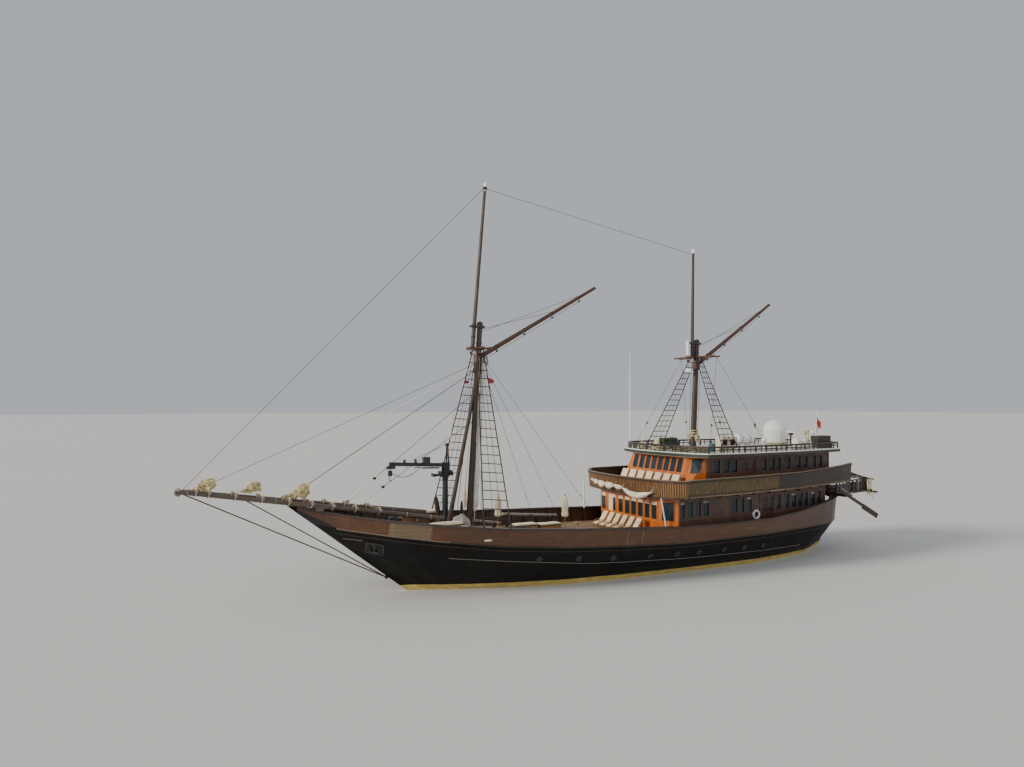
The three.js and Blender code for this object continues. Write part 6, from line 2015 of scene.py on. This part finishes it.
class SCHOONER_OT_stern(bpy.types.Operator):
    """Finish the stern gallery, its awning, the quarter rudders and the ensign staff"""
    bl_idname = "schooner.stern"
    bl_label = "Stern"

    def execute(self, context):
        recoat("spar", "stern_gallery", *both("quarter_rudder"))
        self.gallery()
        self.poles()
        self.stern_awning()
        self.hanging_lines()
        self.ensign()
        return {"FINISHED"}

    def gallery(self):
        floor = GALLERY_FLOOR
        gear = Piece()
        for y in (-1.75, 1.75):
            gear.post(-20.05, y, floor, 5.18, 0.05, sides=10)
            gear.rod((-20.6, y, 5.03), (-17.0, y * 1.4, 5.9), 0.045, sides=10)
        gear.rod((-20.6, -2.2, 5.03), (-20.6, 2.2, 5.03), 0.05, sides=10)
        for (x0, y0), (x1, y1) in zip(GALLERY_LINE, GALLERY_LINE[1:]):
            for side in SIDES.values():
                a, b = Vector((x0, (y0 - 0.09) * side, 0)), Vector((x1, (y1 - 0.09) * side, 0))
                count = round((b - a).length / 0.3)
                for k in range(count):
                    spot = a.lerp(b, (k + 0.5) / count)
                    gear.beam(spot + Z * (floor - 0.2), spot + Z * (floor + 0.78 - 0.1 * (k % 2)),
                              0.03, 0.26, b - a, 1)
        for y in (-2.1, -1.1, 0.0, 1.1, 2.1):
            gear.beam((-20.9, y * 0.8, floor - 0.06), (-15.4, y * 1.3, floor - 0.06), 0.12, 0.14)
        gear.beam((-20.7, -2.4, floor - 0.18), (-20.7, 2.4, floor - 0.18), 0.14, 0.14)
        gear.done("gallery_timbers", ["spar", "trim"], edge=0.01)

    def poles(self):
        pale = Piece()
        pale.rod((-15.95, 2.95, 4.68), (-17.77, 2.5, 3.95), 0.06, sides=10)
        pale.rod((-16.7, 2.85, 3.95), (-17.8, 2.5, 4.2), 0.045, sides=10)
        pale.rod((-18.9, 2.1, GALLERY_FLOOR), (-18.95, 2.1, GALLERY_FLOOR + 1.0), 0.04, sides=8)
        pale.done("gallery_poles", "grey_timber")
        light = Piece()
        light.rod((-17.57, 2.3, 5.2), (-18.78, 2.15, 5.2), 0.035, sides=10)
        for x in (-17.6, -18.75):
            light.post(x, 2.2, 5.2, 5.55, 0.015, sides=6)
        light.done("gallery_light", "white")

    def stern_awning(self):
        def place(u, w):
            half = w - 0.5
            sag = 0.14 * math.sin(math.pi * u) * (1 - 2.4 * half * half)
            return Vector((lerp(-17.0, -20.6, u), half * lerp(5.1, 3.9, u), lerp(5.96, 5.1, u) - sag))

        sheet, area = Piece().cloth("stern_awning", "grey_canvas", (24, 24), place, 0.003)

    def hanging_lines(self):
        """A coil and loose ends of line on the gallery's aft rail."""
        coil = Piece()
        for k in range(9):
            centre = Vector((-20.12, 1.55 + 0.035 * (k % 3), GALLERY_FLOOR + 0.72 + 0.02 * (k // 3)))
            loop = [centre + Vector((-0.10 - 0.02 * (k % 4), 0.17 * math.cos(a),
                                     -0.24 + (0.30 + 0.01 * k) * math.sin(a)))
                    for a in circle(20, closed=True)]
            coil.hose(loop, 0.03, 6)
        for k in range(6):
            top = Vector((-20.2 - 0.09 * (k % 3), 1.7 + 0.09 * k, 5.15 - 0.05 * (k % 2)))
            path = [top + Vector((-0.06 * t + 0.05 * math.sin(7 * t + k), 0.06 * math.sin(5 * t + 2 * k),
                                  -(1.1 + 0.08 * k) * t)) for t in [n / 10 for n in range(11)]]
            coil.hose(path, 0.03, 6)
        coil.done("hanging_lines", "yellow_rope")

    def ensign(self):
        staff = Piece()
        z = on_upper_deck(-16.4)
        staff.lathe([(0, 0), (0.09, 0), (0.09, 0.1), (0.05, 0.2), (0.045, 2.5), (0.03, 5.0), (0, 5.02)],
                    (-16.35, 0, z), Vector((-0.12, 0, 1)), 12)
        staff.ball((-16.96, 0, z + 5.02), 0.06, detail=2)
        staff.done("ensign_staff", "floor_grey")
        for name, finish, z0, z1 in (("ensign_red", "red_cloth", z + 4.05, z + 4.6),
                                     ("ensign_white", "white_cloth", z + 3.5, z + 4.05)):
            def place(u, w):
                height = lerp(z0, z1, w)
                return Vector((-16.37 - 0.12 * (height - z) - 0.231 * u,
                               0.10 * math.sin(u * 9) * u + 0.12 * u, height - 0.495 * u))

            piece, area = Piece().cloth(name, finish, (14, 8), place)


# Stage

# The photograph's camera: place, heading, and in pixels the horizon's drop and the focal length
CAMERA_AT = Vector((32.78, 44.72, 11.0))
HEADING = Vector((-0.4543, -0.8909))
HORIZON_DROP, FOCAL = 19.2, 794.3


class SCHOONER_OT_stage(bpy.types.Operator):
    """Set the floor at the waterline, the light and the camera"""
    bl_idname = "schooner.stage"
    bl_label = "Stage, light and camera"

    def execute(self, context):
        scene = context.scene
        floor = bpy.data.meshes.new("stage_floor")
        shape = bmesh.new()
        bmesh.ops.create_grid(shape, x_segments=1, y_segments=1, size=400)
        shape.to_mesh(floor)
        shape.free()
        made = bpy.data.objects.new("stage_floor", floor)
        scene.collection.objects.link(made)
        finish = paint("stage_paint", (0.62, 0.62, 0.60), 0.7, dirt=0.05, grain=0.05, bump=0.0)
        floor.materials.append(finish)
        world = bpy.data.worlds.new("studio")
        world.use_nodes = True
        sky = world.node_tree.nodes["Background"]
        sky.inputs[0].default_value = (0.86, 0.90, 0.96, 1)
        sky.inputs[1].default_value = 0.55
        scene.world = world
        for name, way, energy, size, tint in (
                ("key", (1.0, -0.10, 0.42), 3.6, 14, (1.0, 0.90, 0.76)),
                ("fill", (0.15, 1.0, 0.55), 0.62, 40, (0.96, 0.97, 1.0))):
            lamp = bpy.data.lights.new(name, "SUN")
            lamp.energy, lamp.angle, lamp.color = energy, math.radians(size), tint
            placed = bpy.data.objects.new(name, lamp)
            placed.rotation_mode = "QUATERNION"
            placed.rotation_quaternion = Vector(way).to_track_quat("Z", "Y")
            scene.collection.objects.link(placed)
        self.camera(scene)
        return {"FINISHED"}

    def camera(self, scene):
        """The photograph's place: off the port bow, looking a little up over the horizon."""
        lens = bpy.data.cameras.new("camera")
        lens.sensor_width, lens.lens = 36.0, 27.92
        lens.clip_start, lens.clip_end = 0.1, 2000
        placed = bpy.data.objects.new("camera", lens)
        rise = math.atan(HORIZON_DROP / FOCAL)
        look = Vector((*(HEADING * math.cos(rise)), math.sin(rise)))
        placed.location = CAMERA_AT * SCALE
        placed.rotation_mode = "QUATERNION"
        placed.rotation_quaternion = look.to_track_quat("-Z", "Y")
        scene.collection.objects.link(placed)
        scene.camera = placed


OPERATORS = (
    SCHOONER_OT_stage, SCHOONER_OT_hull, SCHOONER_OT_decks, SCHOONER_OT_bowsprit, SCHOONER_OT_masts,
    SCHOONER_OT_rigging, SCHOONER_OT_windows, SCHOONER_OT_doors, SCHOONER_OT_parapet,
    SCHOONER_OT_houses, SCHOONER_OT_roof_gear, SCHOONER_OT_balconies, SCHOONER_OT_crane,
    SCHOONER_OT_stern,
)


class SCHOONER_PT_panel(bpy.types.Panel):
    """The schooner's pieces, one button each"""
    bl_label = "Schooner"
    bl_idname = "SCHOONER_PT_panel"
    bl_space_type = "VIEW_3D"
    bl_region_type = "UI"
    bl_category = "Schooner"

    def draw(self, context):
        for group in (context.scene.schooner_sizes, context.scene.schooner_colours):
            box = self.layout.box()
            for key in group.bl_rna.properties.keys():
                if key not in ("rna_type", "name"):
                    box.prop(group, key)
        for operator in OPERATORS:
            self.layout.operator(operator.bl_idname)


CLASSES = (SchoonerColours, SchoonerSizes, *OPERATORS, SCHOONER_PT_panel)


def register():
    for entry in CLASSES:
        bpy.utils.register_class(entry)
    bpy.types.Scene.schooner_colours = PointerProperty(type=SchoonerColours)
    bpy.types.Scene.schooner_sizes = PointerProperty(type=SchoonerSizes)


def unregister():
    del bpy.types.Scene.schooner_colours
    del bpy.types.Scene.schooner_sizes
    for entry in reversed(CLASSES):
        bpy.utils.unregister_class(entry)


def main():
    register()
    for operator in OPERATORS:
        group, name = operator.bl_idname.split(".")
        getattr(getattr(bpy.ops, group), name)()


if __name__ == "__main__":
    main()
